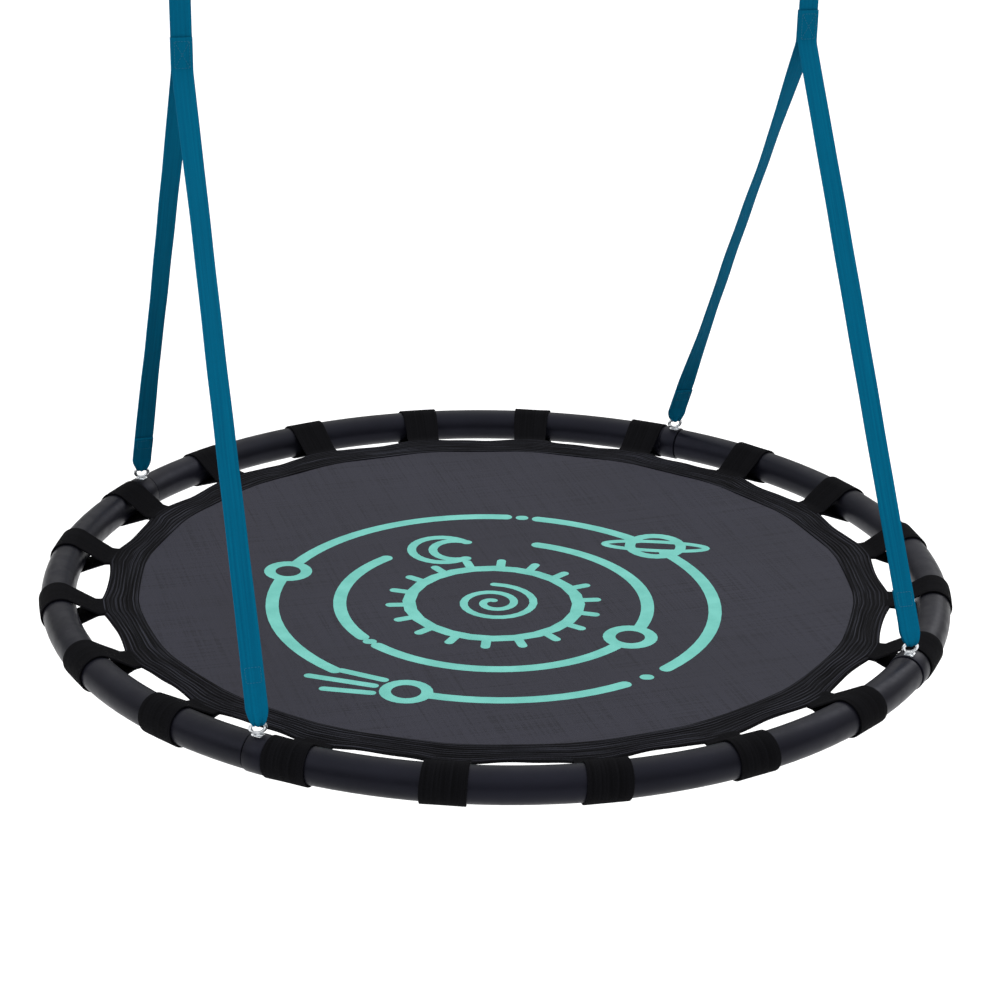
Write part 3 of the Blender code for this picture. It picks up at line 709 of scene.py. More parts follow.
def lacing_loop(name, angle, points, lengths):
    """One loop of webbing, a little skewed and uneven in its own way."""
    skew = random.uniform(-0.35, 0.35)
    creep = random.uniform(-0.15, 0.15)
    ease = [random.uniform(-1.0, 1.0) for _ in range(3)]

    def place(u, v):
        outward, height = at_length(points, lengths, v * lengths[-1])
        side = 2 * u - 1
        turn = angle + creep + side * LOOP_HALF_ANGLE + skew * sin(pi * (v - 0.5) * 2)
        lift = 0.00025 * side * side * (1 + 0.6 * ease[0] * sin(9 * v))
        lift += 0.00012 * ease[1] * sin(14 * v + 3 * side)
        tail = between(abs(v - 0.5) * 2, 0.62, 1.0)
        stretch = 1.0 + lift / hypot(outward, height) * (1 - tail)
        return on_ring(turn, outward * stretch, height * stretch + 0.0004 * ease[2] * sin(pi * tail) * side)

    piece = mapped_grid(name, 8, 72, (LOOP_WIDTH, lengths[-1]), place)
    thicken(piece, 60.0, even=True)
    return piece


def make_loops(black):
    """Five evenly spaced loops on each quarter."""
    points, lengths = loop_line()
    for k in range(LOOP_COUNT):
        angle = FIRST_SEAM + LOOP_OFFSET + k * LOOP_STEP
        piece = lacing_loop(f"lacing_loop_{k + 1:02d}", angle, points, lengths)
        wear(piece, black, "black_webbing", "seat", f"web_loop_{k + 1:02d}")


# -------- hem and mat

def sag(reach):
    """The mat's height from the ring's plane, below it all over, at a distance from its middle."""
    return -HEM_LOW - MAT_SAG * max(0.0, 1 - (reach / HEM_AT_LOOP) ** 2)


def drawn_in(angle):
    """0 at a loop and 1 midway between two loops."""
    held = 0.8 * LOOP_HALF_ANGLE
    beside = (angle - FIRST_SEAM - LOOP_OFFSET + LOOP_STEP / 2) % LOOP_STEP - LOOP_STEP / 2
    return 1 - (1 - between(abs(beside), held, LOOP_STEP / 2)) ** 2


def hem_section():
    """(share of the way out, height, side) round the hem: over the ribs, round the edge and back below."""
    top = [(k / 56, 1) for k in range(57)]
    below = [(1 - k / 14, -1) for k in range(15)]
    return top + [(1.012, 0.45), (1.012, -0.45)] + below


def make_hem(cloth):
    """The gathered hem: its edge is drawn in between the loops, and its ribs wander round it."""
    section = hem_section()
    waves = [(random.uniform(0, 2 * pi), random.randint(9, 60)) for _ in range(6)]
    crest_highlights = []

    def place(u, v):
        angle = FIRST_SEAM + 360.0 * u
        share, side = section[round(v * len(section)) % len(section)]
        turn = radians(angle)
        pull = drawn_in(angle)
        outer = HEM_AT_LOOP + (HEM_BETWEEN - HEM_AT_LOOP) * pull
        inner = HEM_INNER + 0.0005 - 0.0014 * pull
        wander = sum(sin(turn * count + phase + 4 * share) for phase, count in waves) / len(waves)
        reach = inner + (outer - inner) * min(1.0, share) + max(0.0, share - 1.0) * 0.05
        reach += 0.0022 * wander * sin(pi * min(1.0, share))     # the ribs wander by up to 2 mm
        rib = abs(sin(pi * HEM_RIBS * (share + 0.02 * wander))) ** 0.7 if share <= 1 else 0.6
        # each rib's height is also kept as the mask for the painted highlight on the crests
        crest_highlights.append(rib)
        edge = min(1.0, 8 * share, 8 * abs(1.0 - share) + 0.55)
        thick = 0.0012 + 0.0010 * rib * edge + 0.0004 * wander   # from its middle to its face
        ruffle = 0.0006 * sin(turn * 37 + waves[0][0]) * pull * share
        height = side * thick + sag(reach) + ruffle
        return Vector((reach * cos(turn), reach * sin(turn), RING_Z + height))

    piece = mapped_grid("hem", 480, len(section), (2 * pi * HEM_INNER, 0.09), place)
    # the rib heights go on the mesh, where the hem's finish paints the crests paler as a painted highlight
    piece.data.attributes.new("crest_highlight", "FLOAT", "POINT").data.foreach_set("value", crest_highlights)
    tidy_mesh(piece)
    smooth(piece, 60.0)
    wear(piece, cloth, "hem_cloth", "seat", "mat_hem")
    return piece


def make_mat(cloth):
    """The mesh disc, its edge held inside the hem, drawn in ring by ring from a circle."""
    rings = 26
    deselect()
    bpy.ops.mesh.primitive_circle_add(vertices=160, radius=MAT_RADIUS, location=RING_MIDDLE)
    piece = named("mat")
    edit(piece)
    for k in range(rings - 1, 0, -1):
        bpy.ops.mesh.extrude_region_move()
        share = k / (k + 1)
        bpy.ops.transform.resize(value=(share, share, 1.0), center_override=RING_MIDDLE)
    bpy.ops.mesh.extrude_region_move()
    bpy.ops.mesh.merge(type="CENTER")
    bpy.ops.mesh.select_all(action="SELECT")
    bpy.ops.mesh.normals_make_consistent(inside=False)
    bpy.ops.object.mode_set(mode="OBJECT")
    for vertex in piece.data.vertices:
        distance = hypot(vertex.co.x, vertex.co.y)
        angle = atan2(vertex.co.y, vertex.co.x)
        pucker = 0.0004 * cos(20 * (angle - radians(FIRST_SEAM + LOOP_OFFSET))) * (distance / MAT_RADIUS) ** 8
        vertex.co.z += sag(distance) + pucker
    modify(piece, "SOLIDIFY", thickness=MAT_THICKNESS, offset=0.0)
    smooth(piece, 40.0)
    wear(piece, cloth, "mat_cloth", "seat", "mat_mesh")
    return piece


# -------- print

PRINT_TURN = radians(-17.3)
PRINT_MIDDLE = Vector((-0.018, -0.050, 0.0))
STROKE = 0.0145                  # width of the widest lines
INK_LIFT = 0.00005               # of a line's middle off the mat
INK_THICKNESS = 0.00012          # from its middle to its face
OUTER_ORBIT = 0.247
INNER_ORBIT = 0.172
SUN = 0.095


def stroke(points, width, closed=False):
    """A round-ended line of ink lying on the mat. Points are in the print's own plane."""
    half = width / 2
    radii = [half] * len(points)
    if not closed:
        start, end = Vector(points[0]), Vector(points[-1])
        out_start = (start - Vector(points[1])).normalized()
        out_end = (end - Vector(points[-2])).normalized()
        shares = (0.3, 0.6, 0.8, 0.93, 0.995)
        points = [tuple(start + out_start * half * s) for s in shares[::-1]] + list(points)
        points += [tuple(end + out_end * half * s) for s in shares]
        caps = [half * sqrt(1 - s * s) for s in shares]
        radii = caps[::-1] + radii + caps
    piece = rod("ink", [(x, y, 0.0) for x, y in points], half, closed, radii, resolution=2)
    for vertex in piece.data.vertices:
        spot = Matrix.Rotation(PRINT_TURN, 3, "Z") @ Vector((vertex.co.x, vertex.co.y, 0.0)) + PRINT_MIDDLE
        top = RING_Z + sag(spot.length) + MAT_THICKNESS / 2
        vertex.co = (spot.x, spot.y, top + INK_LIFT + vertex.co.z / half * INK_THICKNESS)
    return piece


def polar(radius, angle):
    """A point at an angle in degrees."""
    return radius * cos(radians(angle)), radius * sin(radians(angle))


def ring_of(x, y, radius, width):
    """A closed circle of ink."""
    return stroke(arc((x, y), radius, 0, 360 - 15, 23), width, closed=True)


def orbit(radius, start, stop):
    """Part of an orbit, with a point every 4 degrees or so."""
    steps = max(6, int(abs(stop - start) / 4))
    return stroke(arc((0.0, 0.0), radius, start, stop, steps), STROKE)


def orbits():
    """Two broken orbits, each with a planet in a gap, and a dot in three other gaps."""
    parts = [orbit(OUTER_ORBIT, *span) for span in ((87, 157), (169, 228), (255, 304), (318, 396), (47, 78))]
    parts += [orbit(INNER_ORBIT, *span) for span in ((-22, 73), (137, 215), (224, 321))]
    parts.append(ring_of(*polar(OUTER_ORBIT, 163), 0.021, STROKE * 0.9))
    parts.append(ring_of(*polar(INNER_ORBIT, -30), 0.023, STROKE * 0.95))
    for radius, angle in ((OUTER_ORBIT, 82.5), (OUTER_ORBIT, 311), (INNER_ORBIT, 219.5)):
        x, y = polar(radius, angle)
        parts.append(stroke([(x - 0.0015, y), (x + 0.0015, y)], STROKE * 0.85))
    return parts


def toothed_sun():
    """A circle with 18 short rays and a spiral inside it."""
    parts = [ring_of(0.0, 0.0, SUN, STROKE)]
    for k in range(18):
        low, high = polar(SUN + 0.006, 20 * k + 6), polar(SUN + 0.021, 20 * k + 6)
        parts.append(stroke([low, high], STROKE * 0.72))
    spiral = [polar(0.006 + 0.044 * k / 48, 90 + 15 * k) for k in range(49)]
    parts.append(stroke(spiral, STROKE * 0.62))
    return parts


def ringed_planet():
    """A circle on the outer orbit with a slim tilted ellipse over it."""
    x, y = polar(OUTER_ORBIT + 0.004, 41)
    tilt = radians(-6)
    band = []
    for k in range(36):
        long, short = 0.060 * cos(2 * pi * k / 36), 0.013 * sin(2 * pi * k / 36)
        band.append((x + long * cos(tilt) - short * sin(tilt), y + long * sin(tilt) + short * cos(tilt)))
    return [ring_of(x, y, 0.030, STROKE * 0.85), stroke(band, STROKE * 0.6, closed=True)]


def moon():
    """A crescent of two open arcs."""
    x, y = polar(0.158, 113)
    rim = stroke(arc((x, y), 0.036, 40, 320, 22), STROKE * 0.72)
    return [rim, stroke(arc((x + 0.016, y), 0.027, 300, 60, 16), STROKE * 0.72)]


def comet():
    """A circle on the outer orbit with three tails, the middle one longer."""
    x, y = polar(OUTER_ORBIT, 249)
    parts = [ring_of(x, y, 0.022, STROKE * 0.85)]
    for k, long in ((-1, 0.050), (0, 0.072), (1, 0.050)):
        start = Vector((x, y)) + Vector(polar(0.036, 160 + 28 * k))
        end = start + Vector(polar(long, 164 + 8 * k))
        parts.append(stroke([tuple(start), tuple(end)], STROKE * 0.7))
    return parts


def make_print(ink):
    """A generic space scene in lines of ink that lie on the mat."""
    piece = merge("mat_print", orbits() + toothed_sun() + ringed_planet() + moon() + comet())
    smooth(piece, 60.0)
    wear(piece, ink, "mat_cloth", "seat")
    return piece


# -------- straps

def eased(points):
    """Corners cut three times over, ends kept: a smooth line of webbing from a few given points."""
    for _ in range(3):
        cut = [points[0]]
        for a, b in zip(points, points[1:]):
            cut.append(tuple(0.75 * p + 0.25 * q for p, q in zip(a, b)))
            cut.append(tuple(0.25 * p + 0.75 * q for p, q in zip(a, b)))
        points = cut + [points[-1]]
    return points


def leg_line():
    """A front leg in (y, z): sewn stretch, run down to its eye, under the wire and back up as the tail."""
    wrap = EYE_WIRE + EYE_CLEARANCE + WEBBING / 2
    wire = Vector((-EYE_X, WIRE_Z))
    join = Vector((-BESIDE, JOIN_Z))
    reach = join - wire
    lean = atan2(reach.x, reach.y) + asin(wrap / reach.length)
    up = Vector((sin(lean), cos(lean)))
    inward = Vector((cos(lean), -sin(lean)))
    run = sqrt(reach.length**2 - wrap**2)
    points = [(join.x, JOIN_Z + JOIN_LENGTH), (join.x, JOIN_Z + 0.008), tuple(join)]
    points += [tuple(wire - inward * wrap + up * (run - 0.008)), tuple(wire - inward * wrap + up * run * 0.5)]
    points += [tuple(wire - inward * wrap + up * 0.014)]
    for k in range(13):
        turn = pi * k / 12
        points.append(tuple(wire - inward * wrap * cos(turn) - up * wrap * sin(turn)))
    beside = BESIDE - wrap
    points += [tuple(wire + inward * beside + up * along) for along in (0.016, 0.030, LEG_TAIL)]
    return eased(points)


def bunched(height):
    """Share of its width that a leg keeps at a height above the wire of its eye."""
    return GATHERED + (1 - GATHERED) * sin(pi / 2 * between(height, -0.0045, 0.0135))


def leg_strap(name, side, front, turn):
    """One leg with its centre line and length. side is -1 on the left, and front is -1 at the back."""
    line = leg_line()
    lengths = measured(line)
    total = lengths[-1]
    waves = [random.uniform(0, 2 * pi) for _ in range(4)]
    half = STRAP_WIDTH / 2

    def centre(distance):
        y, z = at_length(line, lengths, distance)
        share = between(z, WIRE_Z, JOIN_Z)
        return Vector((side * (EYE_X + (HANG_X - EYE_X) * share), y * front, z))

    def place(u, v):
        distance = v * total
        here = centre(distance)
        ahead = (centre(min(total, distance + 0.001)) - centre(max(0.0, distance - 0.001))).normalized()
        # free is 1 along the run and 0 where the strap is sewn or goes round its eye
        free = between(here.z, WIRE_Z + 0.062, WIRE_Z + 0.202) * (1 - between(here.z, JOIN_Z - 0.16, JOIN_Z))
        twisted = Matrix.Rotation(turn * sin(pi / 2 * free), 3, ahead)
        across = twisted @ Vector((1.0, 0.0, 0.0))
        outward = ahead.cross(across).normalized() * (-1 if front > 0 else 1)
        keep = bunched(here.z - WIRE_Z)
        w = 2 * u - 1
        # the bunched strap folds up over the wire, and lies in the bend of the eye below it
        below = 1 - between(here.z, WIRE_Z - 0.0038, WIRE_Z)
        fold = (1 - keep) * (1 - 0.6 * below) * 0.0040 * (1 - cos(2 * pi * w)) / 2 + 0.0012 * below * w * w
        ripple = 0.0007 * sin(17 * distance + waves[0]) * free
        ripple += 0.00025 * sin(61 * distance + waves[1]) * free
        twist = 0.0006 * w * sin(11 * distance + waves[2]) * free
        sideways = 0.0005 * sin(13 * distance + waves[3]) * free
        return here + across * (w * half * keep + sideways) + outward * (fold + ripple + twist)

    piece = mapped_grid(name, 16, 300, (STRAP_WIDTH, total), place)
    thicken(piece, 65.0)
    path = [centre(total * k / 120) for k in range(121)]
    return piece, path, total


def riser_line():
    """The riser in (y, z): straight up from the join, over the bar, back down behind itself."""
    wrap = DEE_ROD + CLEARANCE + WEBBING / 2
    foot = DEE_BAR_Z - BAR_EYE
    points = [(0.0, JOIN_Z), (0.0, (JOIN_Z + foot) / 2), (0.0, foot)]
    points += arc((0.0, DEE_BAR_Z), wrap, 185, -5, 14)
    points += [(BESIDE, foot), (BESIDE, foot - 0.01), (BESIDE, DEE_BAR_Z - RISER_TAIL)]
    return eased(points)


def riser_strap(name, side):
    """One riser with its centre line, and its length up to the start of its tail."""
    line = riser_line()
    lengths = measured(line)
    total = lengths[-1]
    run = total - (RISER_TAIL + 0.008)

    def place(u, v):
        y, z = at_length(line, lengths, v * total)
        w = 2 * u - 1
        return Vector((side * HANG_X + w * STRAP_WIDTH / 2, y - 0.0002 * w * w, z))

    piece = mapped_grid(name, 10, 150, (STRAP_WIDTH, total), place)
    thicken(piece, 65.0)
    path = [Vector((side * HANG_X, *at_length(line, lengths, run * k / 40))) for k in range(41)]
    return piece, path, run


def stitches(name, rows):
    """Lock stitches, short grains of thread, along rows. A row is its start, its end and the way it faces."""
    deselect()
    bpy.ops.mesh.primitive_uv_sphere_add(segments=6, ring_count=4, radius=1.0)
    grain = named(f"{name}_grain")
    base = grain.data.copy()
    bpy.data.objects.remove(grain)
    shape = bmesh.new()
    for start, end, facing in rows:
        start, end = Vector(start), Vector(end)
        along = (end - start).normalized()
        facing = Vector(facing).normalized()
        side = facing.cross(along)
        turn = Matrix((along, side, facing)).transposed().to_4x4()
        count = max(1, round((end - start).length / STITCH_PITCH))
        for k in range(count):
            middle = start + (end - start) * (k + 0.5) / count + facing * STITCH_LIFT
            size = Matrix.Diagonal((*STITCH_HALF_SIZE, 1.0))
            lump = base.copy()
            lump.transform(Matrix.Translation(middle) @ turn @ size)
            shape.from_mesh(lump)
            bpy.data.meshes.remove(lump)
    mesh = bpy.data.meshes.new(name)
    shape.to_mesh(mesh)
    shape.free()
    piece = placed(name, mesh)
    smooth(piece, 60.0)
    return piece


def box_stitch(low, high, x, y, out):
    """A sewn box with a cross in it, on a strap that stands upright. out is -1 on its front face."""
    half = STRAP_WIDTH / 2 - 0.0032
    a, b = Vector((x - half, y, low)), Vector((x + half, y, low))
    c, d = Vector((x + half, y, high)), Vector((x - half, y, high))
    return [(start, end, (0, out, 0)) for start, end in ((a, b), (b, c), (c, d), (d, a), (a, c), (b, d))]


def riser_stitching(name, x):
    """Two sewn boxes, each seen on both faces: over the join with the legs, and over the riser's tail."""
    surface = WEBBING / 2
    join = (JOIN_Z + BOX_MARGIN, JOIN_Z + JOIN_LENGTH - BOX_MARGIN)
    tail = (DEE_BAR_Z - RISER_TAIL + BOX_MARGIN, DEE_BAR_Z - BAR_EYE - BOX_MARGIN / 2)
    rows = box_stitch(*join, x, -BESIDE - surface, -1) + box_stitch(*join, x, BESIDE + surface, 1)
    rows += box_stitch(*tail, x, -surface, -1) + box_stitch(*tail, x, BESIDE + surface, 1)
    return stitches(f"join_stitching_{name}", rows)


def leg_stitching(name, path, front):
    """The rows that hold a leg's tail, two across it and two along it, seen on both faces."""
    end = path[-1]
    up = (path[-1] - path[-6]).normalized()
    across = Vector((1.0, 0.0, 0.0))
    out = up.cross(across).normalized()
    if out.y * front < 0:
        out = -out
    rows = []
    half = across * (STRAP_WIDTH / 2 - 0.003)
    for facing, shift in ((out, WEBBING / 2), (-out, BESIDE + WEBBING / 2)):
        top, low = end - up * 0.004, end - up * 0.019
        corners = [top - half, top + half, low + half * 0.94, low - half * 0.94]
        corners = [corner + facing * shift for corner in corners]
        rows += [(start, stop, facing) for start, stop in zip(corners, corners[1:] + corners[:1])]
    return stitches(name, rows)


def make_straps(teal, thread):
    """Each side's riser and two legs, sewn together. Each is a cord with its stitching on it."""
    for name, side in (("left", -1), ("right", 1)):
        sewn = riser_stitching(name, side * HANG_X)
        wear(sewn, thread, "teal_webbing", "seat")
        riser, path, total = riser_strap(f"riser_strap_{name}", side)
        wear(riser, teal, "teal_webbing", "seat", f"riser_{name}")
        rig.cord(riser, exit=path[0], length=total, diameter=STRAP_WIDTH, far_end="object",
                stiffness="limp", lay="taut", path=path, with_pieces=[sewn])
        for depth, front in (("front", 1), ("back", -1)):
            leg, path, total = leg_strap(f"leg_strap_{depth}_{name}", side, front, LEG_TWISTS[depth, name])
            wear(leg, teal, "teal_webbing", "seat", f"leg_{depth}_{name}")
            tacks = leg_stitching(f"leg_stitching_{depth}_{name}", path, front)
            wear(tacks, thread, "teal_webbing", "seat")
            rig.cord(leg, exit=path[0], length=total, diameter=STRAP_WIDTH, far_end="object",
                    stiffness="limp", lay="taut", path=path, with_pieces=[tacks])


# -------- hardware

def eye_bolt(corner, spot, zinc):
    """An oval eye in one piece with its threaded shank, which goes into the tubes."""
    middle = (spot.x, spot.y, WIRE_Z - EYE_RADIUS)
    deselect()
    bpy.ops.mesh.primitive_torus_add(
        location=middle, rotation=(pi / 2, 0.0, 0.0), major_radius=EYE_RADIUS, minor_radius=EYE_WIRE,
        major_segments=48, minor_segments=16,
    )
    eye = named(f"eye_{corner}")
    edit(eye)
    bpy.ops.transform.resize(value=(EYE_WIDER, 1.0, 1.0), center_override=middle)
    bpy.ops.object.mode_set(mode="OBJECT")
    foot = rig.box(f"eye_bolt_{corner}")[0].z
    top = WIRE_Z - 2 * EYE_RADIUS
    count = int((top - foot - PLAIN_NECK) / THREAD_STEP)
    heights = [foot + THREAD_STEP * k for k in range(count)] + [top - 0.0012, top]
    radii = [SHANK_RADIUS - THREAD_DEPTH * (k % 2) for k in range(count)] + [SHANK_RADIUS, SHANK_RADIUS]
    radii[0] = SHANK_RADIUS * 0.7
    line = [(spot.x, spot.y, z) for z in heights]
    combine(eye, rod("shank", line, SHANK_RADIUS, radii=radii, resolution=3), "UNION")
    smooth(eye, 45.0)
    wear(eye, zinc, "zinc_steel", "seat", f"eye_bolt_{corner}")


def saddle_washer(corner, spot, angle, zinc):
    """A plate with round corners, curved to lie on the lip of the tube."""
    deselect()
    bpy.ops.mesh.primitive_cube_add(size=1.0, location=(0.0, 0.0, 0.0), scale=WASHER_SIZE)
    washer = named(f"washer_{corner}")
    edit(washer)
    bpy.ops.mesh.select_all(action="DESELECT")
    shape = bmesh.from_edit_mesh(washer.data)
    for edge in shape.edges:
        if abs((edge.verts[0].co - edge.verts[1].co).normalized().z) > 0.9:
            edge.select_set(True)
    bmesh.update_edit_mesh(washer.data)
    bpy.ops.mesh.bevel(offset=WASHER_CORNER, segments=5)
    for place in (0.0, -0.0035, -0.0018, 0.0018, 0.0035):      # cuts along which it can bend
        bpy.ops.mesh.select_all(action="SELECT")
        bpy.ops.mesh.bisect(plane_co=(place, 0, 0), plane_no=(1, 0, 0))
    bpy.ops.object.mode_set(mode="OBJECT")
    for vertex in washer.data.vertices:
        vertex.co.z -= vertex.co.x ** 2 / (2 * LIP_RADIUS)
    seat = Vector((spot.x, spot.y, RING_Z + LIP_RADIUS + CLEARANCE))
    washer.data.transform(Matrix.Translation(seat) @ Matrix.Rotation(radians(angle), 4, "Z"))
    modify(washer, "BEVEL", width=0.0002, segments=2, limit_method="ANGLE", angle_limit=radians(50))
    smooth(washer, 40.0)
    wear(washer, zinc, "zinc_steel", "seat", f"saddle_washer_{corner}")


def d_ring(name, x, zinc):
    """A round rod bent to a bar with two small corners and a half circle."""
    edge = DEE_HALF_WIDTH - DEE_CORNER
    line = arc((edge, DEE_CORNER), DEE_CORNER, -90, 0, 8)
    line += arc((0.0, DEE_SIDE), DEE_HALF_WIDTH, 0, 180, 32)
    line += arc((-edge, DEE_CORNER), DEE_CORNER, 180, 270, 8)
    line += [(-edge + 2 * edge * k / 6, 0.0) for k in range(1, 6)]
    dee = rod(f"dee_{name}", [(x + u, 0.0, DEE_BAR_Z + v) for u, v in line], DEE_ROD, closed=True)
    smooth(dee, 60.0)
    wear(dee, zinc, "zinc_steel", "rings", f"d_ring_{name}")


def carabiner_body(name, x, zinc):
    """A rod bent from the tang over the top, down the back and round the heel to the nose."""
    top = HOOK_ROD - HOOK_BEND
    low = top - HOOK_STRAIGHT
    nose = -PIN_BELOW_HANG - NOSE_BELOW_PIN
    start = degrees(asin((BOW_ABOVE_PIN - PIN_BELOW_HANG - top) / HOOK_BEND))
    line = arc((0.0, top), HOOK_BEND, start, 180, 28)
    line += [(-HOOK_BEND, top - HOOK_STRAIGHT * k / 4) for k in range(1, 4)]
    line += arc((0.0, low), HOOK_BEND, 180, 360, 32) + [(HOOK_BEND, nose - 0.0006), (HOOK_BEND, nose)]
    radii = [HOOK_ROD - 0.0006] + [HOOK_ROD] * (len(line) - 2) + [HOOK_ROD - 0.0006]
    hook = rod(f"hook_{name}", [(x, y, z) for y, z in line], HOOK_ROD, radii=radii, resolution=7)
    deselect()
    bpy.ops.mesh.primitive_cube_add(
        size=1.0, location=(x, HOOK_BEND, TANG_ABOVE_PIN - PIN_BELOW_HANG), scale=TANG_SIZE
    )
    tang = named("tang")
    modify(tang, "BEVEL", width=0.0009, segments=3, limit_method="ANGLE", angle_limit=radians(50))
    combine(hook, tang, "UNION")
    smooth(hook, 40.0)
    wear(hook, zinc, "zinc_steel", "hangers", f"carabiner_{name}")


def carabiner_gate(name, x, zinc):
    """A round bar, forked at its head to go over the tang."""
    foot = -PIN_BELOW_HANG - NOSE_BELOW_PIN + 0.0004
    head = -PIN_BELOW_HANG + 0.0032
    heights = (foot, foot + 0.0006, head - 0.0009, head - 0.0003, head)
    radii = (GATE_RADIUS - 0.0006, GATE_RADIUS, GATE_RADIUS, GATE_RADIUS - 0.0004, GATE_RADIUS - 0.001)
    line = [(x, HOOK_BEND, z) for z in heights]
    gate = rod(f"snap_gate_{name}", line, GATE_RADIUS, radii=radii, resolution=7)
    deselect()
    bpy.ops.mesh.primitive_cube_add(
        size=1.0, location=(x, HOOK_BEND, FORK_ABOVE_PIN - PIN_BELOW_HANG), scale=FORK_SIZE
    )
    combine(gate, named("slot"), "DIFFERENCE")
    smooth(gate, 40.0)
    wear(gate, zinc, "zinc_steel", f"gate_{name}", f"gate_{name}")


def gate_pin(name, x, zinc):
    """A plain pin with riveted ends, held by the tang."""
    half = GATE_RADIUS + 0.0002
    offsets = (-half, -half + 0.0003, half - 0.0003, half)
    line = [(x + offset, HOOK_BEND, -PIN_BELOW_HANG) for offset in offsets]
    radii = (PIN_RADIUS * 0.7, PIN_RADIUS, PIN_RADIUS, PIN_RADIUS * 0.7)
    pin = rod(f"hinge_pin_{name}", line, PIN_RADIUS, radii=radii, resolution=4)
    smooth(pin, 40.0)
    wear(pin, zinc, "zinc_steel", "hangers", f"gate_pin_{name}")


def make_hardware(zinc):
    """Eyes and washers at the four seams, then what the straps hang from on each side."""
    for k, corner in enumerate(CORNERS):
        angle = FIRST_SEAM + BOLT_ANGLE + 90.0 * k
        eye_bolt(corner, on_ring(angle), zinc)
        saddle_washer(corner, on_ring(angle), angle, zinc)
    for name, side in (("left", -1), ("right", 1)):
        for make in (d_ring, carabiner_body, carabiner_gate, gate_pin):
            make(name, side * HANG_X, zinc)


# -------- stage

CAMERA_AZIMUTH = radians(-17.3)
CAMERA_ELEVATION = 0.418638      # radians, as is its roll
CAMERA_ROLL = 0.018441
CAMERA_DISTANCE = 5.68097 * RING_RADIUS
AIM_RIGHT = 0.00095              # past the ring's middle, as shares of the distance
AIM_UP = 0.03077
LENS = 88.24                     # millimetres, as is the sensor
SENSOR = 36.0
FLOOR_BELOW_RING = 0.85


def make_camera():
    """A long lens that looks down on the ring from the front, a little to its left."""
    back = Vector((sin(CAMERA_AZIMUTH) * cos(CAMERA_ELEVATION), -cos(CAMERA_AZIMUTH) * cos(CAMERA_ELEVATION),
                   sin(CAMERA_ELEVATION)))
    right = Vector((cos(CAMERA_AZIMUTH), sin(CAMERA_AZIMUTH), 0.0))
    up = right.cross(-back)
    ahead = (-back + AIM_RIGHT * right + AIM_UP * up).normalized()
    level = ahead.cross(Vector((0.0, 0.0, 1.0))).normalized()
    turn = Matrix((level, level.cross(ahead), -ahead)).transposed()
    lens = bpy.data.cameras.new("camera")
    lens.lens = LENS
    lens.sensor_width = SENSOR
    lens.clip_end = 100.0
    camera = placed("camera", lens)
    place = RING_MIDDLE + back * CAMERA_DISTANCE
    rolled = turn @ Matrix.Rotation(CAMERA_ROLL, 3, "Z")
    camera.matrix_world = Matrix.Translation(place) @ rolled.to_4x4()
    bpy.context.scene.camera = camera


def area_light(name, place, size, power):
    """A white panel that faces the ring's middle and isn't seen itself."""
    lamp = bpy.data.lights.new(name, "AREA")
    lamp.shape = "RECTANGLE"
    lamp.size, lamp.size_y = size
    lamp.energy = power
    made = placed(name, lamp)
    made.location = place
    made.rotation_euler = (RING_MIDDLE - Vector(place)).to_track_quat("-Z", "Y").to_euler()
    made.visible_camera = False


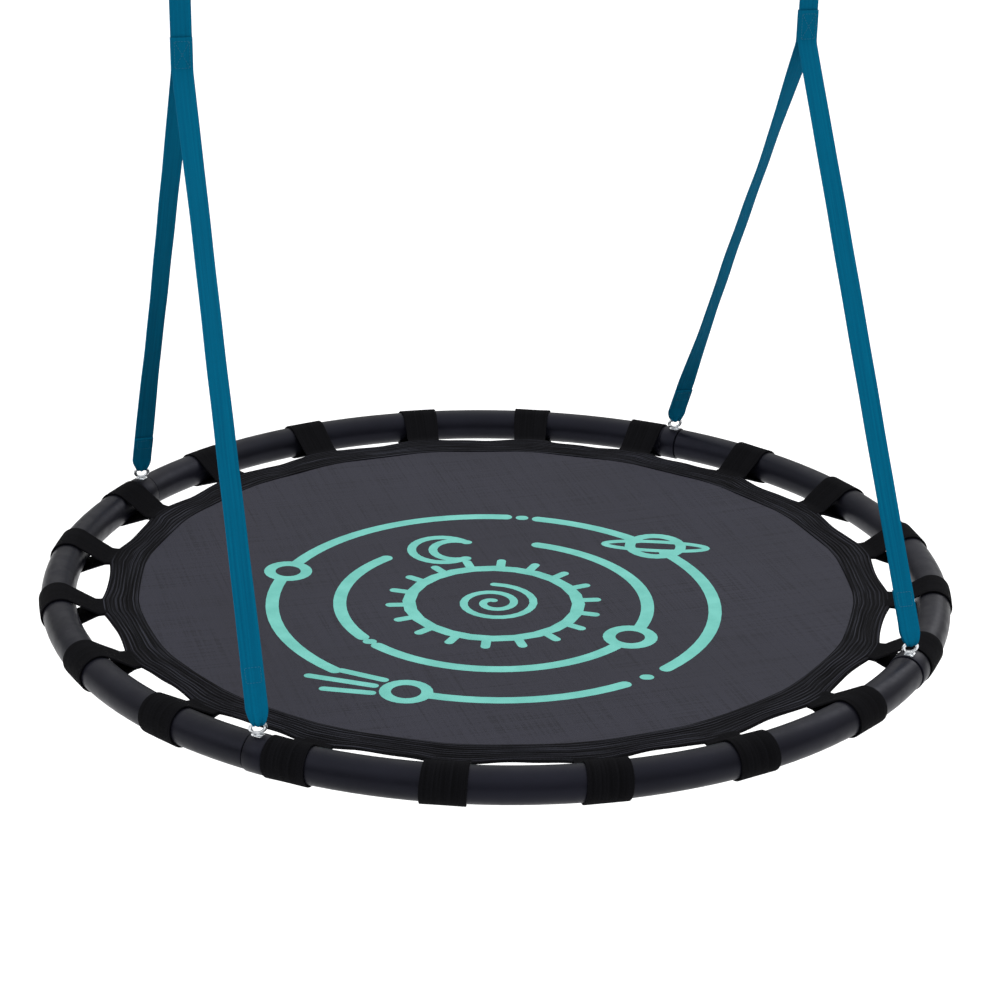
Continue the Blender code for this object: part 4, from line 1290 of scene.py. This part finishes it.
def make_stage():
    """A pale floor that runs out into pale air, lit from above by a soft sky and two panels."""
    deselect()
    bpy.ops.mesh.primitive_circle_add(
        vertices=96, radius=30.0, fill_type="NGON", location=(0.0, 0.0, RING_Z - FLOOR_BELOW_RING)
    )
    floor = named("floor")
    made, tree, shader = finish("pale_matt_floor", Roughness=0.9, Specular_IOR_Level=0.2)
    place = add(tree, "TexCoord").outputs["Object"]
    mottle = add(tree, "TexNoise", {"Vector": place, "Scale": 1.5, "Detail": 2.0})
    tint = add(tree, "ValToRGB", {"Fac": mottle.outputs["Fac"]}, stops=((0.3, "#F9F9F9"), (0.7, "#FCFCFC")))
    connect(tree, shader, Base_Color=tint.outputs["Color"])
    floor.data.materials.append(made)
    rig.stage(floor)

    world = bpy.data.worlds.new("pale_air")
    world.use_nodes = True
    tree = world.node_tree
    seen = add(tree, "Background", {"Color": colour("#FFFFFF"), "Strength": 1.0})
    direction = add(tree, "TexCoord").outputs["Generated"]
    split = add(tree, "SeparateXYZ", {0: direction})
    height = {"Value": split.outputs["Z"], "From Min": 0.0, "From Max": 0.9, "To Min": 0.16, "To Max": 1.75}
    sky = add(tree, "MapRange", height)
    lit = add(tree, "Background", {"Color": colour("#FFFFFF"), "Strength": sky.outputs[0]})
    ray = add(tree, "LightPath").outputs["Is Camera Ray"]
    mixed = add(tree, "MixShader", {0: ray, 1: lit.outputs[0], 2: seen.outputs[0]})
    tree.links.new(mixed.outputs[0], tree.nodes["World Output"].inputs["Surface"])
    bpy.context.scene.world = world

    area_light("panel_left", (-2.6, -0.6, 0.8), (1.6, 1.6), 10.0)
    area_light("panel_right", (2.4, 1.2, 0.9), (1.4, 1.8), 18.0)
    bpy.context.scene.view_settings.view_transform = "Standard"


# -------- the swing

def make_swing():
    """Every piece, in one order, so that each run draws the same random numbers."""
    zinc = bright_zinc_plate()
    teal = webbing("teal_webbing", "#00506F", "#006080", rib=0.0012, depth=0.0001)
    make_ring(powder_coated_steel())
    make_loops(webbing("black_webbing", "#040405", "#101013", rib=0.0012, depth=0.00008))
    hem = make_hem(gathered_hem_cloth())
    mat = make_mat(coated_mesh_cloth())
    ink = make_print(mint_screen_ink())
    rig.sheet(mat, flat=(2 * MAT_RADIUS, 2 * MAT_RADIUS), held="stretched", rests_on=["hem"],
             area=pi * MAT_RADIUS**2, with_pieces=[hem, ink])
    make_straps(teal, bonded_thread("teal_thread", "#00506C", "#0C6685"))
    make_hardware(zinc)
    wire = drawn_spring_wire()
    for name, node in frame["nodes"].items():
        if not node.hide_render:         # the nuts and the springs, which no piece stands for
            node.data.materials.clear()
            node.data.materials.append(wire if "spring" in name else zinc)


make_camera()
make_stage()
make_swing()
deselect()
with open("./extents.json", "w") as out:
    json.dump({"cad": CAD_BOX, "visual": [list(corner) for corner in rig.bounds()]}, out)
